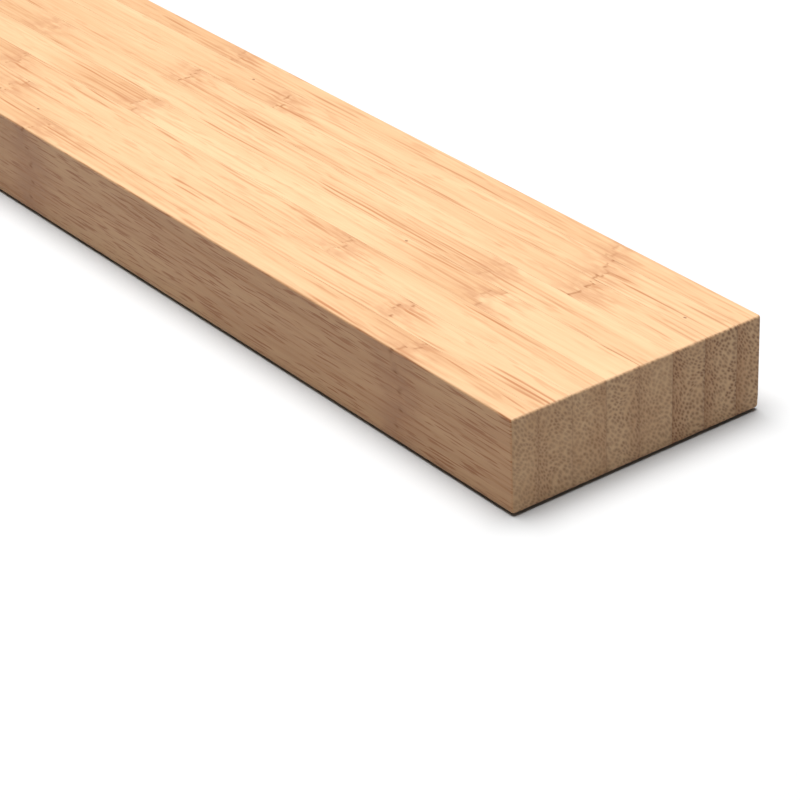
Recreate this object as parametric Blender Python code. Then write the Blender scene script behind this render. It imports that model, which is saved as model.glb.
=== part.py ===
"""A magnetic knife rack of laminated bamboo, modelled as it is built, in metres.

The rack lies on its back: X runs along it, Y across it, and +Z is the front face that the knives
stick to. Hung on a wall, +Y is up. The origin is under the middle of the rack, at the level of
the wall pads' faces.
"""

import math

import bmesh
import bpy
from mathutils import Matrix

# The bamboo block
BLOCK_LENGTH = 0.406
BLOCK_WIDTH = 0.0635
BLOCK_THICKNESS = 0.021
SLAT_COUNT = 8
OUTER_SLAT_WIDTH = 0.00635
FRONT_EDGE_ROUND = 0.0004
BACK_EDGE_ROUND = 0.0008
EDGE_SEGMENTS = 2

# The gap that pieces keep where they touch or are glued
TOUCH_GAP = 0.0003

# The magnets, the keeper bar behind them and the cover that closes their groove
FRONT_SKIN = 0.002
MAGNET_COUNT = 12
MAGNET_DIAMETER = 0.018
MAGNET_THICKNESS = 0.006
MAGNET_EDGE = 0.0004
MAGNET_SIDES = 24
MAGNET_END_MARGIN = 0.002
KEEPER_THICKNESS = 0.0015
KEEPER_BESIDE_MAGNET = 0.002
GROOVE_CORNER = 0.003
CORNER_SIDES = 4
COVER_EDGE = 0.0003
RIB_BESIDE_HANGER = 0.010

# The keyhole hanger plates
HANGER_BESIDE_PAD = 0.002
HANGER_LENGTH = 0.038
HANGER_WIDTH = 0.016
HANGER_THICKNESS = 0.0018
HANGER_CORNER = 0.0025
KEYHOLE_DIAMETER = 0.0095
KEYHOLE_SLOT = 0.0048
KEYHOLE_DROP = 0.005
KEYHOLE_SIDES = 24
HEAD_POCKET_MARGIN = 0.0005
HEAD_POCKET_DEPTH = 0.005
HEAD_POCKET_CORNER = 0.002

# The screws that hold the plates
SCREW_FROM_PLATE_END = 0.0048
SCREW_LENGTH = 0.012
SCREW_TIP = 0.003
SCREW_TIP_DIAMETER = 0.0006
SCREW_SHANK = 0.003
SCREW_HEAD = 0.006
SCREW_HEAD_RIM = 0.0002
SCREW_SIDES = 20
RECESS_SPAN = 0.0030
RECESS_WIDTH = 0.0007
RECESS_DEPTH = 0.0011

# The wall pads
PAD_DIAMETER = 0.010
PAD_STANDOFF = 0.0005
PAD_RECESS = 0.001
PAD_EDGE = 0.0002
PAD_FROM_END = 0.009
PAD_FROM_SIDE = 0.009
PAD_SIDES = 24

# How far a cutter runs out past the face that it enters
CUTTER_OVERRUN = 0.002

# Levels, from the wall pads' faces up to the front face
BACK = PAD_STANDOFF
FRONT = BACK + BLOCK_THICKNESS
MAGNET_TOP = FRONT - FRONT_SKIN - TOUCH_GAP
MAGNET_BASE = MAGNET_TOP - MAGNET_THICKNESS
KEEPER_TOP = MAGNET_BASE - TOUCH_GAP
KEEPER_BASE = KEEPER_TOP - KEEPER_THICKNESS
COVER_TOP = KEEPER_BASE - TOUCH_GAP
HANGER_TOP = BACK + HANGER_THICKNESS
HEAD_POCKET_TOP = HANGER_TOP + TOUCH_GAP + HEAD_POCKET_DEPTH

# Places along and across the rack
PAD_X = BLOCK_LENGTH / 2 - PAD_FROM_END
PAD_Y = BLOCK_WIDTH / 2 - PAD_FROM_SIDE
HANGER_X = PAD_X - PAD_DIAMETER / 2 - HANGER_BESIDE_PAD - HANGER_WIDTH / 2
HEAD_POCKET_WIDTH = KEYHOLE_DIAMETER + 2 * HEAD_POCKET_MARGIN
SCREW_SPACING = HANGER_LENGTH - 2 * SCREW_FROM_PLATE_END
KEEPER_WIDTH = MAGNET_DIAMETER + 2 * KEEPER_BESIDE_MAGNET
GROOVE_LENGTH = 2 * (HANGER_X - HANGER_WIDTH / 2 - RIB_BESIDE_HANGER)
GROOVE_WIDTH = KEEPER_WIDTH + 2 * TOUCH_GAP
MAGNET_POCKET = MAGNET_DIAMETER + 2 * TOUCH_GAP
MAGNET_ROW = GROOVE_LENGTH - 2 * MAGNET_END_MARGIN - MAGNET_POCKET
SEAMS = SLAT_COUNT - 2
INNER_SLAT_WIDTH = (BLOCK_WIDTH - 2 * OUTER_SLAT_WIDTH) / SEAMS

SIDES = (("left", -1), ("right", 1))
ENDS = (("top", 1), ("bottom", -1))


def clear_scene():
    """Removes everything that the scene holds."""
    for item in list(bpy.data.objects):
        bpy.data.objects.remove(item, do_unlink=True)


def make_material(name, colour, roughness, metallic=0.0):
    """A Principled material of one colour."""
    material = bpy.data.materials.new(name)
    material.use_nodes = True
    shader = material.node_tree.nodes["Principled BSDF"]
    shader.inputs["Base Color"].default_value = (*colour, 1.0)
    shader.inputs["Roughness"].default_value = roughness
    shader.inputs["Metallic"].default_value = metallic
    material.diffuse_color = (*colour, 1.0)
    return material


def add_object(name, mesh, place=(0.0, 0.0, 0.0), material=None, smooth=True):
    """Puts a mesh into the scene as an object of its own."""
    if material is not None:
        mesh.materials.append(material)
    if smooth:
        mesh.shade_smooth()
        mesh.set_sharp_from_angle(angle=math.radians(35))
    item = bpy.data.objects.new(name, mesh)
    item.location = place
    bpy.context.scene.collection.objects.link(item)
    return item


def to_mesh(name, form):
    """Turns a bmesh into a mesh whose faces point outwards."""
    bmesh.ops.recalc_face_normals(form, faces=form.faces)
    mesh = bpy.data.meshes.new(name)
    form.to_mesh(mesh)
    form.free()
    return mesh


def prism(name, outline, low, high):
    """A closed solid: an outline in X and Y, pulled up from one level to another."""
    form = bmesh.new()
    base = form.faces.new([form.verts.new((x, y, low)) for x, y in outline])
    pulled = bmesh.ops.extrude_face_region(form, geom=[base])
    top = [item for item in pulled["geom"] if isinstance(item, bmesh.types.BMVert)]
    bmesh.ops.translate(form, verts=top, vec=(0.0, 0.0, high - low))
    return to_mesh(name, form)


def turned(name, profile, sides):
    """A solid turned about Z from (radius, level) points, which start and end on the axis."""
    form = bmesh.new()
    points = [form.verts.new((radius, 0.0, level)) for radius, level in profile]
    edges = [form.edges.new(pair) for pair in zip(points, points[1:])]
    bmesh.ops.spin(
        form, geom=points + edges, cent=(0, 0, 0), axis=(0, 0, 1), angle=math.tau, steps=sides
    )
    bmesh.ops.remove_doubles(form, verts=form.verts, dist=1e-6)
    return to_mesh(name, form)


def arc(centre, radius, start, end, sides):
    """Points along an arc, both ends included, with the angles in degrees."""
    angles = [math.radians(start + (end - start) * step / sides) for step in range(sides + 1)]
    return [(centre[0] + radius * math.cos(a), centre[1] + radius * math.sin(a)) for a in angles]


def rounded_rectangle(length, width, corner, sides):
    """The outline of a rectangle with round corners, centred on the origin."""
    x, y = length / 2 - corner, width / 2 - corner
    outline = []
    for quarter, (cx, cy) in enumerate(((x, y), (-x, y), (-x, -y), (x, -y))):
        outline += arc((cx, cy), corner, 90 * quarter, 90 * (quarter + 1), sides)
    return outline


def stadium(low_y, high_y, radius, sides):
    """The outline of a slot with round ends, along Y."""
    upper = arc((0.0, high_y), radius, 0, 180, sides // 2)
    lower = arc((0.0, low_y), radius, 180, 360, sides // 2)
    return upper + lower


def circle(radius, sides):
    """The outline of a circle."""
    return arc((0.0, 0.0), radius, 0, 360 * (sides - 1) / sides, sides - 1)


def disc_profile(radius, low, high, edge):
    """The turned profile of a disc with its rims broken."""
    return [
        (0.0, low),
        (radius - edge, low),
        (radius, low + edge),
        (radius, high - edge),
        (radius - edge, high),
        (0.0, high),
    ]


def round_edges(item, width, segments, limit="ANGLE"):
    """Adds a Bevel that rounds an object's edges."""
    bevel = item.modifiers.new("round_edges", "BEVEL")
    bevel.width = width
    bevel.segments = segments
    bevel.limit_method = limit


def as_cutter(item, group):
    """Makes an object a helper that only cuts, in its own collection."""
    item.hide_render = True
    item.display_type = "WIRE"
    bpy.context.scene.collection.objects.unlink(item)
    group.objects.link(item)


def cutter_group(name):
    """A collection for cutters."""
    group = bpy.data.collections.new(name)
    bpy.context.scene.collection.children.link(group)
    return group


def cut(item, group):
    """Takes every cutter of a collection away from an object."""
    boolean = item.modifiers.new("milled", "BOOLEAN")
    boolean.operation = "DIFFERENCE"
    boolean.operand_type = "COLLECTION"
    boolean.collection = group
    boolean.solver = "EXACT"


def magnet_places():
    """The magnets' places along the rack."""
    pitch = MAGNET_ROW / (MAGNET_COUNT - 1)
    return [pitch * step - MAGNET_ROW / 2 for step in range(MAGNET_COUNT)]


def pad_places():
    """The wall pads' names and places."""
    return [
        (f"{side}_{end}", (PAD_X * along, PAD_Y * across, 0.0))
        for side, along in SIDES
        for end, across in ENDS
    ]


def screw_places():
    """The hanger screws' names and places."""
    return [
        (f"{side}_{end}", (HANGER_X * along, SCREW_SPACING / 2 * across, 0.0))
        for side, along in SIDES
        for end, across in ENDS
    ]


def block_cutters():
    """Everything that is milled or drilled into the back of the block."""
    group = cutter_group("block_cutters")
    outside = BACK - CUTTER_OVERRUN

    groove = rounded_rectangle(GROOVE_LENGTH, GROOVE_WIDTH, GROOVE_CORNER, CORNER_SIDES)
    mesh = prism("groove", groove, outside, KEEPER_TOP + TOUCH_GAP)
    as_cutter(add_object("cut_groove", mesh), group)

    pocket = prism(
        "magnet_pocket", circle(MAGNET_POCKET / 2, MAGNET_SIDES), KEEPER_BASE, MAGNET_TOP + TOUCH_GAP
    )
    for x in magnet_places():
        as_cutter(add_object("cut_magnet_pocket", pocket, (x, 0.0, 0.0)), group)

    plate = rounded_rectangle(
        HANGER_WIDTH + 2 * TOUCH_GAP,
        HANGER_LENGTH + 2 * TOUCH_GAP,
        HANGER_CORNER + TOUCH_GAP,
        CORNER_SIDES,
    )
    seat = prism("hanger_seat", plate, outside, HANGER_TOP + TOUCH_GAP)
    mortise = rounded_rectangle(
        HEAD_POCKET_WIDTH, HEAD_POCKET_WIDTH + KEYHOLE_DROP, HEAD_POCKET_CORNER, CORNER_SIDES
    )
    head_pocket = prism("head_pocket", mortise, outside, HEAD_POCKET_TOP)
    for _, along in SIDES:
        place = (HANGER_X * along, 0.0, 0.0)
        as_cutter(add_object("cut_hanger_seat", seat, place), group)
        as_cutter(add_object("cut_head_pocket", head_pocket, place), group)

    hole_depth = BACK + SCREW_LENGTH + TOUCH_GAP
    hole = prism("screw_hole", circle(SCREW_SHANK / 2 + TOUCH_GAP, SCREW_SIDES), outside, hole_depth)
    for _, place in screw_places():
        as_cutter(add_object("cut_screw_hole", hole, place), group)

    recess = prism(
        "pad_recess", circle(PAD_DIAMETER / 2 + TOUCH_GAP, PAD_SIDES), outside, BACK + PAD_RECESS
    )
    for _, place in pad_places():
        as_cutter(add_object("cut_pad_recess", recess, place), group)
    return group


def slat_spans():
    """The lowest and highest Y of each slat, with half a gap left at each seam."""
    edges = [-BLOCK_WIDTH / 2]
    edges += [OUTER_SLAT_WIDTH - BLOCK_WIDTH / 2 + INNER_SLAT_WIDTH * k for k in range(SEAMS + 1)]
    edges.append(BLOCK_WIDTH / 2)
    spans = []
    for index, (low, high) in enumerate(zip(edges, edges[1:])):
        low += TOUCH_GAP / 2 if index > 0 else 0.0
        high -= TOUCH_GAP / 2 if index < SLAT_COUNT - 1 else 0.0
        spans.append((low, high))
    return spans


def slat_mesh(name, low, high):
    """A slat as a box about its own centre, with its outer edges marked for rounding."""
    half = (BLOCK_LENGTH / 2, (high - low) / 2, BLOCK_THICKNESS / 2)
    middle = (low + high) / 2
    form = bmesh.new()
    bmesh.ops.create_cube(form, size=2.0, matrix=Matrix.Diagonal((*half, 1.0)))
    weights = form.edges.layers.float.new("bevel_weight_edge")
    for edge in form.edges:
        centre = (edge.verts[0].co + edge.verts[1].co) / 2
        at_end = abs(centre.x) > half[0] / 2
        at_side = abs(middle + centre.y) > BLOCK_WIDTH / 2 - TOUCH_GAP
        at_face = abs(centre.z) > half[2] / 2
        if at_end + at_side + at_face < 2:
            continue
        at_back = centre.z < -half[2] / 2
        edge[weights] = 1.0 if at_back else FRONT_EDGE_ROUND / BACK_EDGE_ROUND
    return to_mesh(name, form)


def build_slats(cutters):
    """The upright bamboo strips that the block is glued up from."""
    for number, (low, high) in enumerate(slat_spans(), start=1):
        name = f"slat_{number}"
        tone = 0.04 * (number % 2)
        bamboo = make_material(f"bamboo_{number}", (0.86 + tone, 0.58 + tone, 0.33 + tone), 0.55)
        place = (0.0, (low + high) / 2, (BACK + FRONT) / 2)
        slat = add_object(name, slat_mesh(name, low, high), place, bamboo, smooth=False)
        round_edges(slat, BACK_EDGE_ROUND, EDGE_SEGMENTS, limit="WEIGHT")
        cut(slat, cutters)


def build_magnets():
    """The disc magnets, in a row close behind the front face."""
    nickel = make_material("nickel", (0.66, 0.65, 0.62), 0.25, metallic=1.0)
    profile = disc_profile(MAGNET_DIAMETER / 2, 0.0, MAGNET_THICKNESS, MAGNET_EDGE)
    disc = turned("magnet", profile, MAGNET_SIDES)
    disc.materials.append(nickel)
    for number, x in enumerate(magnet_places(), start=1):
        add_object(f"magnet_{number:02d}", disc, (x, 0.0, MAGNET_BASE))


def build_keeper():
    """The steel bar behind the magnets."""
    steel = make_material("mild_steel", (0.42, 0.43, 0.44), 0.45, metallic=1.0)
    length, width = GROOVE_LENGTH - 2 * TOUCH_GAP, KEEPER_WIDTH
    outline = rounded_rectangle(length, width, GROOVE_CORNER - TOUCH_GAP, CORNER_SIDES)
    mesh = prism("keeper_bar", outline, KEEPER_BASE, KEEPER_TOP)
    add_object("keeper_bar", mesh, material=steel)


def build_cover():
    """The bamboo strip that closes the groove, flush with the back of the block."""
    bamboo = make_material("bamboo_cover", (0.82, 0.56, 0.33), 0.6)
    length, width = GROOVE_LENGTH - 2 * TOUCH_GAP, GROOVE_WIDTH - 2 * TOUCH_GAP
    outline = rounded_rectangle(length, width, GROOVE_CORNER - TOUCH_GAP, CORNER_SIDES)
    mesh = prism("back_cover", outline, BACK, COVER_TOP)
    cover = add_object("back_cover", mesh, material=bamboo, smooth=False)
    round_edges(cover, COVER_EDGE, 1)


def hanger_cutters():
    """The keyhole and the two countersunk holes of a hanger plate, about the plate's centre."""
    group = cutter_group("hanger_cutters")
    low, high = BACK - CUTTER_OVERRUN, HANGER_TOP + CUTTER_OVERRUN
    eye = prism("keyhole_eye", circle(KEYHOLE_DIAMETER / 2, KEYHOLE_SIDES), low, high)
    as_cutter(add_object("cut_keyhole_eye", eye, (0.0, -KEYHOLE_DROP / 2, 0.0)), group)
    slot = stadium(-KEYHOLE_DROP / 2, KEYHOLE_DROP / 2, KEYHOLE_SLOT / 2, KEYHOLE_SIDES)
    as_cutter(add_object("cut_keyhole_slot", prism("keyhole_slot", slot, low, high)), group)

    shank, head = SCREW_SHANK / 2 + TOUCH_GAP, SCREW_HEAD / 2 + TOUCH_GAP
    rim = BACK + SCREW_HEAD_RIM
    sink = turned(
        "countersink",
        [(0.0, low), (head, low), (head, rim), (shank, rim + head - shank), (shank, high), (0.0, high)],
        SCREW_SIDES,
    )
    for _, across in ENDS:
        place = (0.0, SCREW_SPACING / 2 * across, 0.0)
        as_cutter(add_object("cut_countersink", sink, place), group)
    return group


def build_hangers():
    """The keyhole plates, flush with the back of the block, slots upwards."""
    zinc = make_material("zinc_plate", (0.60, 0.60, 0.58), 0.35, metallic=1.0)
    outline = rounded_rectangle(HANGER_WIDTH, HANGER_LENGTH, HANGER_CORNER, CORNER_SIDES)
    blank = add_object("cut_plate", prism("hanger_plate", outline, BACK, HANGER_TOP), material=zinc)
    cut(blank, hanger_cutters())
    bpy.context.view_layer.update()
    pierced = blank.evaluated_get(bpy.context.evaluated_depsgraph_get())
    plate = bpy.data.meshes.new_from_object(pierced)
    bpy.data.objects.remove(blank)
    for side, along in SIDES:
        add_object(f"hanger_plate_{side}", plate, (HANGER_X * along, 0.0, 0.0), smooth=False)


def cross_recess():
    """The cutters of a cross recess, centred on a screw's head."""
    group = cutter_group("recess_cutters")
    low, high = BACK - CUTTER_OVERRUN, BACK + RECESS_DEPTH
    for name, length, width in (("x", RECESS_SPAN, RECESS_WIDTH), ("y", RECESS_WIDTH, RECESS_SPAN)):
        bar = [(-length / 2, -width / 2), (length / 2, -width / 2)]
        bar += [(length / 2, width / 2), (-length / 2, width / 2)]
        mesh = prism(f"recess_bar_{name}", bar, low, high)
        as_cutter(add_object(f"cut_recess_{name}", mesh), group)
    return group


def build_screws():
    """The countersunk wood screws, heads flush with their plates."""
    steel = make_material("screw_steel", (0.55, 0.54, 0.50), 0.3, metallic=1.0)
    head, shank, tip = SCREW_HEAD / 2, SCREW_SHANK / 2, SCREW_TIP_DIAMETER / 2
    neck = BACK + SCREW_HEAD_RIM + head - shank
    end = BACK + SCREW_LENGTH
    profile = [(0.0, BACK), (head, BACK), (head, BACK + SCREW_HEAD_RIM), (shank, neck)]
    profile += [(shank, end - SCREW_TIP), (tip, end), (0.0, end)]
    blank = add_object("cut_screw", turned("hanger_screw", profile, SCREW_SIDES), material=steel)
    cut(blank, cross_recess())
    bpy.context.view_layer.update()
    finished = blank.evaluated_get(bpy.context.evaluated_depsgraph_get())
    screw = bpy.data.meshes.new_from_object(finished)
    bpy.data.objects.remove(blank)
    for name, place in screw_places():
        add_object(f"hanger_screw_{name}", screw, place)


def build_pads():
    """The rubber wall pads, let into the back near the corners."""
    rubber = make_material("rubber", (0.035, 0.035, 0.037), 0.8)
    top = BACK + PAD_RECESS - TOUCH_GAP
    pad = turned("wall_pad", disc_profile(PAD_DIAMETER / 2, 0.0, top, PAD_EDGE), PAD_SIDES)
    pad.materials.append(rubber)
    for name, place in pad_places():
        add_object(f"wall_pad_{name}", pad, place)


def main():
    """Builds the rack."""
    clear_scene()
    build_slats(block_cutters())
    build_magnets()
    build_keeper()
    build_cover()
    build_hangers()
    build_screws()
    build_pads()


main()
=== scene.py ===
"""Looks of a bamboo knife magnetic rack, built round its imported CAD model.

The rack lies on its back, as the CAD model does: X runs along the block, Y across it, and +Z is the front
face, which holds the knives. Sizes are in metres, except inside the bamboo pattern, where lengths are in
millimetres.
"""

import logging
import math
from dataclasses import dataclass, field
from enum import Enum
from typing import Iterable, Sequence, Union

import bmesh
import bpy
import numpy as np
from mathutils import Matrix, Vector


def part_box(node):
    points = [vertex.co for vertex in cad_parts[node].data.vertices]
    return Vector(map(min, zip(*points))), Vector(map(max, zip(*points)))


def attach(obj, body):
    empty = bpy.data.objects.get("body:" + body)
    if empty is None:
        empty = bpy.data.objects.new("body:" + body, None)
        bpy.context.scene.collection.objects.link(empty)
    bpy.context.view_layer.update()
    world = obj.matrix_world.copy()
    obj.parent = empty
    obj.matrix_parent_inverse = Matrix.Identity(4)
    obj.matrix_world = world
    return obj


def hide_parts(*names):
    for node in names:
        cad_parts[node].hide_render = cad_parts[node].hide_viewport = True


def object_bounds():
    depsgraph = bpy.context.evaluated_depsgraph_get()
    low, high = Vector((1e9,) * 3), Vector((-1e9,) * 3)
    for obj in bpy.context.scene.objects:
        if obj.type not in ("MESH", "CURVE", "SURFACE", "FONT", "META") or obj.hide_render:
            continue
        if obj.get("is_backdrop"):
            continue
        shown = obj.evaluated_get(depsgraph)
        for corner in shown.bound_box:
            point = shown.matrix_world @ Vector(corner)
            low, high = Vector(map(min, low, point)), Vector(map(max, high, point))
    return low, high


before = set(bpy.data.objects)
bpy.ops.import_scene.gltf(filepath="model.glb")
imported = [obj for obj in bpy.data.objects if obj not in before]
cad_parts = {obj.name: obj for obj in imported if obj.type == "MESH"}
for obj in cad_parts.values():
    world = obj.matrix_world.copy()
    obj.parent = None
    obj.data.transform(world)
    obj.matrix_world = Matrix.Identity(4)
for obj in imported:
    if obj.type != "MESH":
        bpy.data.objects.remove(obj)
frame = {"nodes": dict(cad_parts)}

LOG = logging.getLogger("rack")
BODY = "root"
MM = 0.001
# The clearance between a piece and the recess that holds it.
TOUCH_GAP = 0.0003
# Points closer than this are one point, and a smaller divisor is taken as this.
TINY = 1e-7
# A point this close to a glued side lies in it.
SLIVER = 0.000002
SHARP_ANGLE = math.radians(38)
CORNER_SIDES = 10
EDGE_SIDES = 5
Point = tuple[float, float]
Colour = tuple[float, float, float]


# ------------------------------------------------------------------------------------------------------------
# Node trees
# ------------------------------------------------------------------------------------------------------------


class TreeKind(Enum):
    """The two kinds of node tree used here."""

    SHADER = "ShaderNodeTree"
    GEOMETRY = "GeometryNodeTree"


class Socket(Enum):
    """The kinds of group socket used here."""

    NUMBER = "NodeSocketFloat"
    WHOLE = "NodeSocketInt"
    VECTOR = "NodeSocketVector"
    COLOUR = "NodeSocketColor"
    SHAPE = "NodeSocketGeometry"
    FINISH = "NodeSocketMaterial"
    PATTERN = "NodeSocketObject"


SOCKET_OF = {float: Socket.NUMBER, int: Socket.WHOLE, tuple: Socket.COLOUR}


@dataclass(frozen=True)
class Wire:
    """An output socket that can stand in a sum."""

    sheet: "NodeSheet"
    socket: bpy.types.NodeSocket

    def __add__(self, other: "Value") -> "Wire":
        """This plus other."""
        return self.sheet.math("ADD", self, other)

    def __radd__(self, other: "Value") -> "Wire":
        """Other plus this."""
        return self.sheet.math("ADD", other, self)

    def __sub__(self, other: "Value") -> "Wire":
        """This less other."""
        return self.sheet.math("SUBTRACT", self, other)

    def __rsub__(self, other: "Value") -> "Wire":
        """Other less this."""
        return self.sheet.math("SUBTRACT", other, self)

    def __mul__(self, other: "Value") -> "Wire":
        """This times other."""
        return self.sheet.math("MULTIPLY", self, other)

    def __rmul__(self, other: "Value") -> "Wire":
        """Other times this."""
        return self.sheet.math("MULTIPLY", other, self)

    def __truediv__(self, other: "Value") -> "Wire":
        """This over other."""
        return self.sheet.math("DIVIDE", self, other)


Value = Union[Wire, float, int]


class NodeSheet:
    """A node tree being drawn up, with a short method for each kind of node that it needs."""

    def __init__(self, tree: bpy.types.NodeTree) -> None:
        """Takes the tree as it is.

        Args:
            tree: the tree to draw in.
        """
        self.tree = tree
        self.entry: bpy.types.Node | None = None
        self.exit: bpy.types.Node | None = None

    @classmethod
    def group(cls, name: str, kind: TreeKind, inputs: dict, outputs: dict[str, Socket]) -> "NodeSheet":
        """Opens a new node group.

        Args:
            name: the group's name.
            kind: shader or geometry.
            inputs: name to default value, or to the kind of socket where it has no default.
            outputs: name to kind of socket.

        Returns:
            The sheet of the new group, with its two ends in place.
        """
        tree = bpy.data.node_groups.new(name, kind.value)
        for label, default in inputs.items():
            socket = default if isinstance(default, Socket) else SOCKET_OF[type(default)]
            made = tree.interface.new_socket(name=label, in_out="INPUT", socket_type=socket.value)
            if socket is not default:
                made.default_value = default
        for label, socket in outputs.items():
            tree.interface.new_socket(name=label, in_out="OUTPUT", socket_type=socket.value)
        sheet = cls(tree)
        sheet.entry = tree.nodes.new("NodeGroupInput")
        sheet.exit = tree.nodes.new("NodeGroupOutput")
        return sheet

    @classmethod
    def shape(cls, name: str, inputs: dict) -> "NodeSheet":
        """Opens a geometry group, with its shape and its finish as inputs besides its own."""
        every = {"Geometry": Socket.SHAPE, **inputs, "Finish": Socket.FINISH}
        return cls.group(name, TreeKind.GEOMETRY, every, {"Geometry": Socket.SHAPE})

    def finish_shape(self, shape: bpy.types.Node) -> bpy.types.NodeTree:
        """Ends a geometry group: gives the shape its finish and puts it out.

        Args:
            shape: the node that makes the shape.

        Returns:
            The group.
        """
        feeds = {"Geometry": self.wire(shape), "Material": self["Finish"]}
        self.put("Geometry", self.wire(self.node("GeometryNodeSetMaterial", feeds)))
        return self.tree

    def __getitem__(self, name: str) -> Wire:
        """The group's input of that name."""
        return Wire(self, self.entry.outputs[name])

    def put(self, name: str, value: Wire) -> None:
        """Joins value to the group's output of that name."""
        self.tree.links.new(value.socket, self.exit.inputs[name])

    def node(self, kind: str, feeds: dict | None = None, **settings) -> bpy.types.Node:
        """Adds a node.

        Args:
            kind: Blender's name for it.
            feeds: input name or number to value.
            settings: properties of the node.

        Returns:
            The node.
        """
        made = self.tree.nodes.new(kind)
        for name, value in settings.items():
            setattr(made, name, value)
        for name, value in (feeds or {}).items():
            self.feed(made.inputs[name], value)
        return made

    def feed(self, socket: bpy.types.NodeSocket, value) -> None:
        """Joins a wire to a socket, or sets its value.

        Args:
            socket: the input socket.
            value: a wire, or a value of the socket's kind.
        """
        if isinstance(value, Wire):
            self.tree.links.new(value.socket, socket)
        else:
            socket.default_value = value

    def wire(self, node: bpy.types.Node, output: str | int = 0) -> Wire:
        """An output of a node as a wire."""
        return Wire(self, node.outputs[output])

    def math(self, operation: str, *values: Value, clamp: bool = False) -> Wire:
        """A sum of numbers.

        Args:
            operation: Blender's name for the sum.
            values: its terms.
            clamp: keep the result from 0 to 1.

        Returns:
            The result.
        """
        made = self.node("ShaderNodeMath", operation=operation, use_clamp=clamp)
        for socket, value in zip(made.inputs, values):
            self.feed(socket, value)
        return self.wire(made)

    def vector(self, operation: str, *values: Value | Sequence[float]) -> Wire:
        """A sum of vectors, whose result is a vector.

        Args:
            operation: Blender's name for the sum.
            values: its terms; SCALE takes a vector and a number.

        Returns:
            The result.
        """
        made = self.node("ShaderNodeVectorMath", operation=operation)
        if operation == "SCALE":
            self.feed(made.inputs[0], values[0])
            self.feed(made.inputs["Scale"], values[1])
            return self.wire(made)
        for socket, value in zip(made.inputs, values):
            self.feed(socket, value)
        return self.wire(made)

    def split(self, value: Wire) -> tuple[Wire, Wire, Wire]:
        """A vector's three parts."""
        made = self.node("ShaderNodeSeparateXYZ", {0: value})
        return self.wire(made, 0), self.wire(made, 1), self.wire(made, 2)

    def join(self, x: Value, y: Value, z: Value) -> Wire:
        """Three numbers as a vector."""
        return self.wire(self.node("ShaderNodeCombineXYZ", {0: x, 1: y, 2: z}))

    def ramp(
        self, value: Wire, low: Value, high: Value, start: Value = 0.0, stop: Value = 1.0, soft: bool = True
    ) -> Wire:
        """Maps value from low..high to start..stop, and holds it there outside.

        Args:
            value: what is mapped.
            low: the value that gives start.
            high: the value that gives stop.
            start: the result at low.
            stop: the result at high.
            soft: ease in and out.

        Returns:
            The result.
        """
        made = self.node(
            "ShaderNodeMapRange",
            {"Value": value, "From Min": low, "From Max": high, "To Min": start, "To Max": stop},
            interpolation_type="SMOOTHSTEP" if soft else "LINEAR",
            clamp=True,
        )
        return self.wire(made)

    def bell(self, value: Wire, width: float) -> Wire:
        """A smooth hump: 1 where value is 0, and under 0.4 past width."""
        share = value / width
        return self.math("EXPONENT", share * share * -1.0)

    def noise(self, place: Wire, detail: float = 2.0, roughness: float = 0.5) -> Wire:
        """Cloudy noise from 0 to 1 at a place that is already scaled."""
        feeds = {"Vector": place, "Scale": 1.0, "Detail": detail, "Roughness": roughness}
        return self.wire(self.node("ShaderNodeTexNoise", feeds))

    def chance(self, place: Wire) -> Wire:
        """A different number from 0 to 1 at every place."""
        return self.wire(self.node("ShaderNodeTexWhiteNoise", {"Vector": place}, noise_dimensions="3D"))

    def cells(self, place: Wire, dimensions: str, randomness: float) -> tuple[Wire, Wire]:
        """Scattered points.

        Args:
            place: where to look, with about one point in each unit.
            dimensions: "2D" or "3D".
            randomness: 0 for a grid, 1 for a loose scatter.

        Returns:
            The distance to the nearest point, and a number from 0 to 1 that is its own.
        """
        made = self.node(
            "ShaderNodeTexVoronoi",
            {"Vector": place, "Scale": 1.0, "Randomness": randomness},
            voronoi_dimensions=dimensions,
        )
        own = self.node("ShaderNodeSeparateColor", {0: self.wire(made, "Color")})
        return self.wire(made, "Distance"), self.wire(own)

    def tint(self, share: Value, first: Wire | tuple, second: Wire | tuple, mode: str = "MIX") -> Wire:
        """Mixes two colours.

        Args:
            share: how much of the second.
            first: the colour at 0.
            second: the colour at 1.
            mode: Blender's name for the way of mixing.

        Returns:
            The mixed colour.
        """
        made = self.node("ShaderNodeMix", data_type="RGBA", blend_type=mode, clamp_factor=True)
        for identifier, value in (("Factor_Float", share), ("A_Color", first), ("B_Color", second)):
            socket = next(s for s in made.inputs if s.identifier == identifier)
            self.feed(socket, value)
        return Wire(self, next(s for s in made.outputs if s.identifier == "Result_Color"))


def rgba(colour: Colour) -> tuple[float, float, float, float]:
    """A colour with full cover."""
    return (*colour, 1.0)


def grey(level: Wire) -> Wire:
    """A number as a grey colour."""
    return level.sheet.join(level, level, level)


# ------------------------------------------------------------------------------------------------------------
# Patterns
# ------------------------------------------------------------------------------------------------------------


@dataclass(frozen=True)
class Spot:
    """A point of a strip: where it lies, in millimetres, and which way its surface faces.

    shift tells the strips apart, local is the distance from the strip's middle, dense goes from 0 to 1
    towards the outer side of the stalk, and the far-end ramp goes from 0 to 1 towards the far end of the
    rack, where it makes the pattern plainer and carries painted shade and painted light.
    """

    x: Wire
    y: Wire
    z: Wire
    shift: Wire
    local: Wire
    dense: Wire
    far_plainness_and_painted_light: Wire
    end: Wire
    side: Wire


@dataclass(frozen=True)
class Knot:
    """The nearest knot, seen from a point of the strip.

    straight and place are the distances along the strip from the even ring and from the ragged one, below
    zero on the far side. near is 1 at the ring, step is the deeper tone beyond it and tail the wear before
    it.
    """

    ragged: Wire
    jag: Wire
    straight: Wire
    place: Wire
    near: Wire
    step: Wire
    tail: Wire


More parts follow.
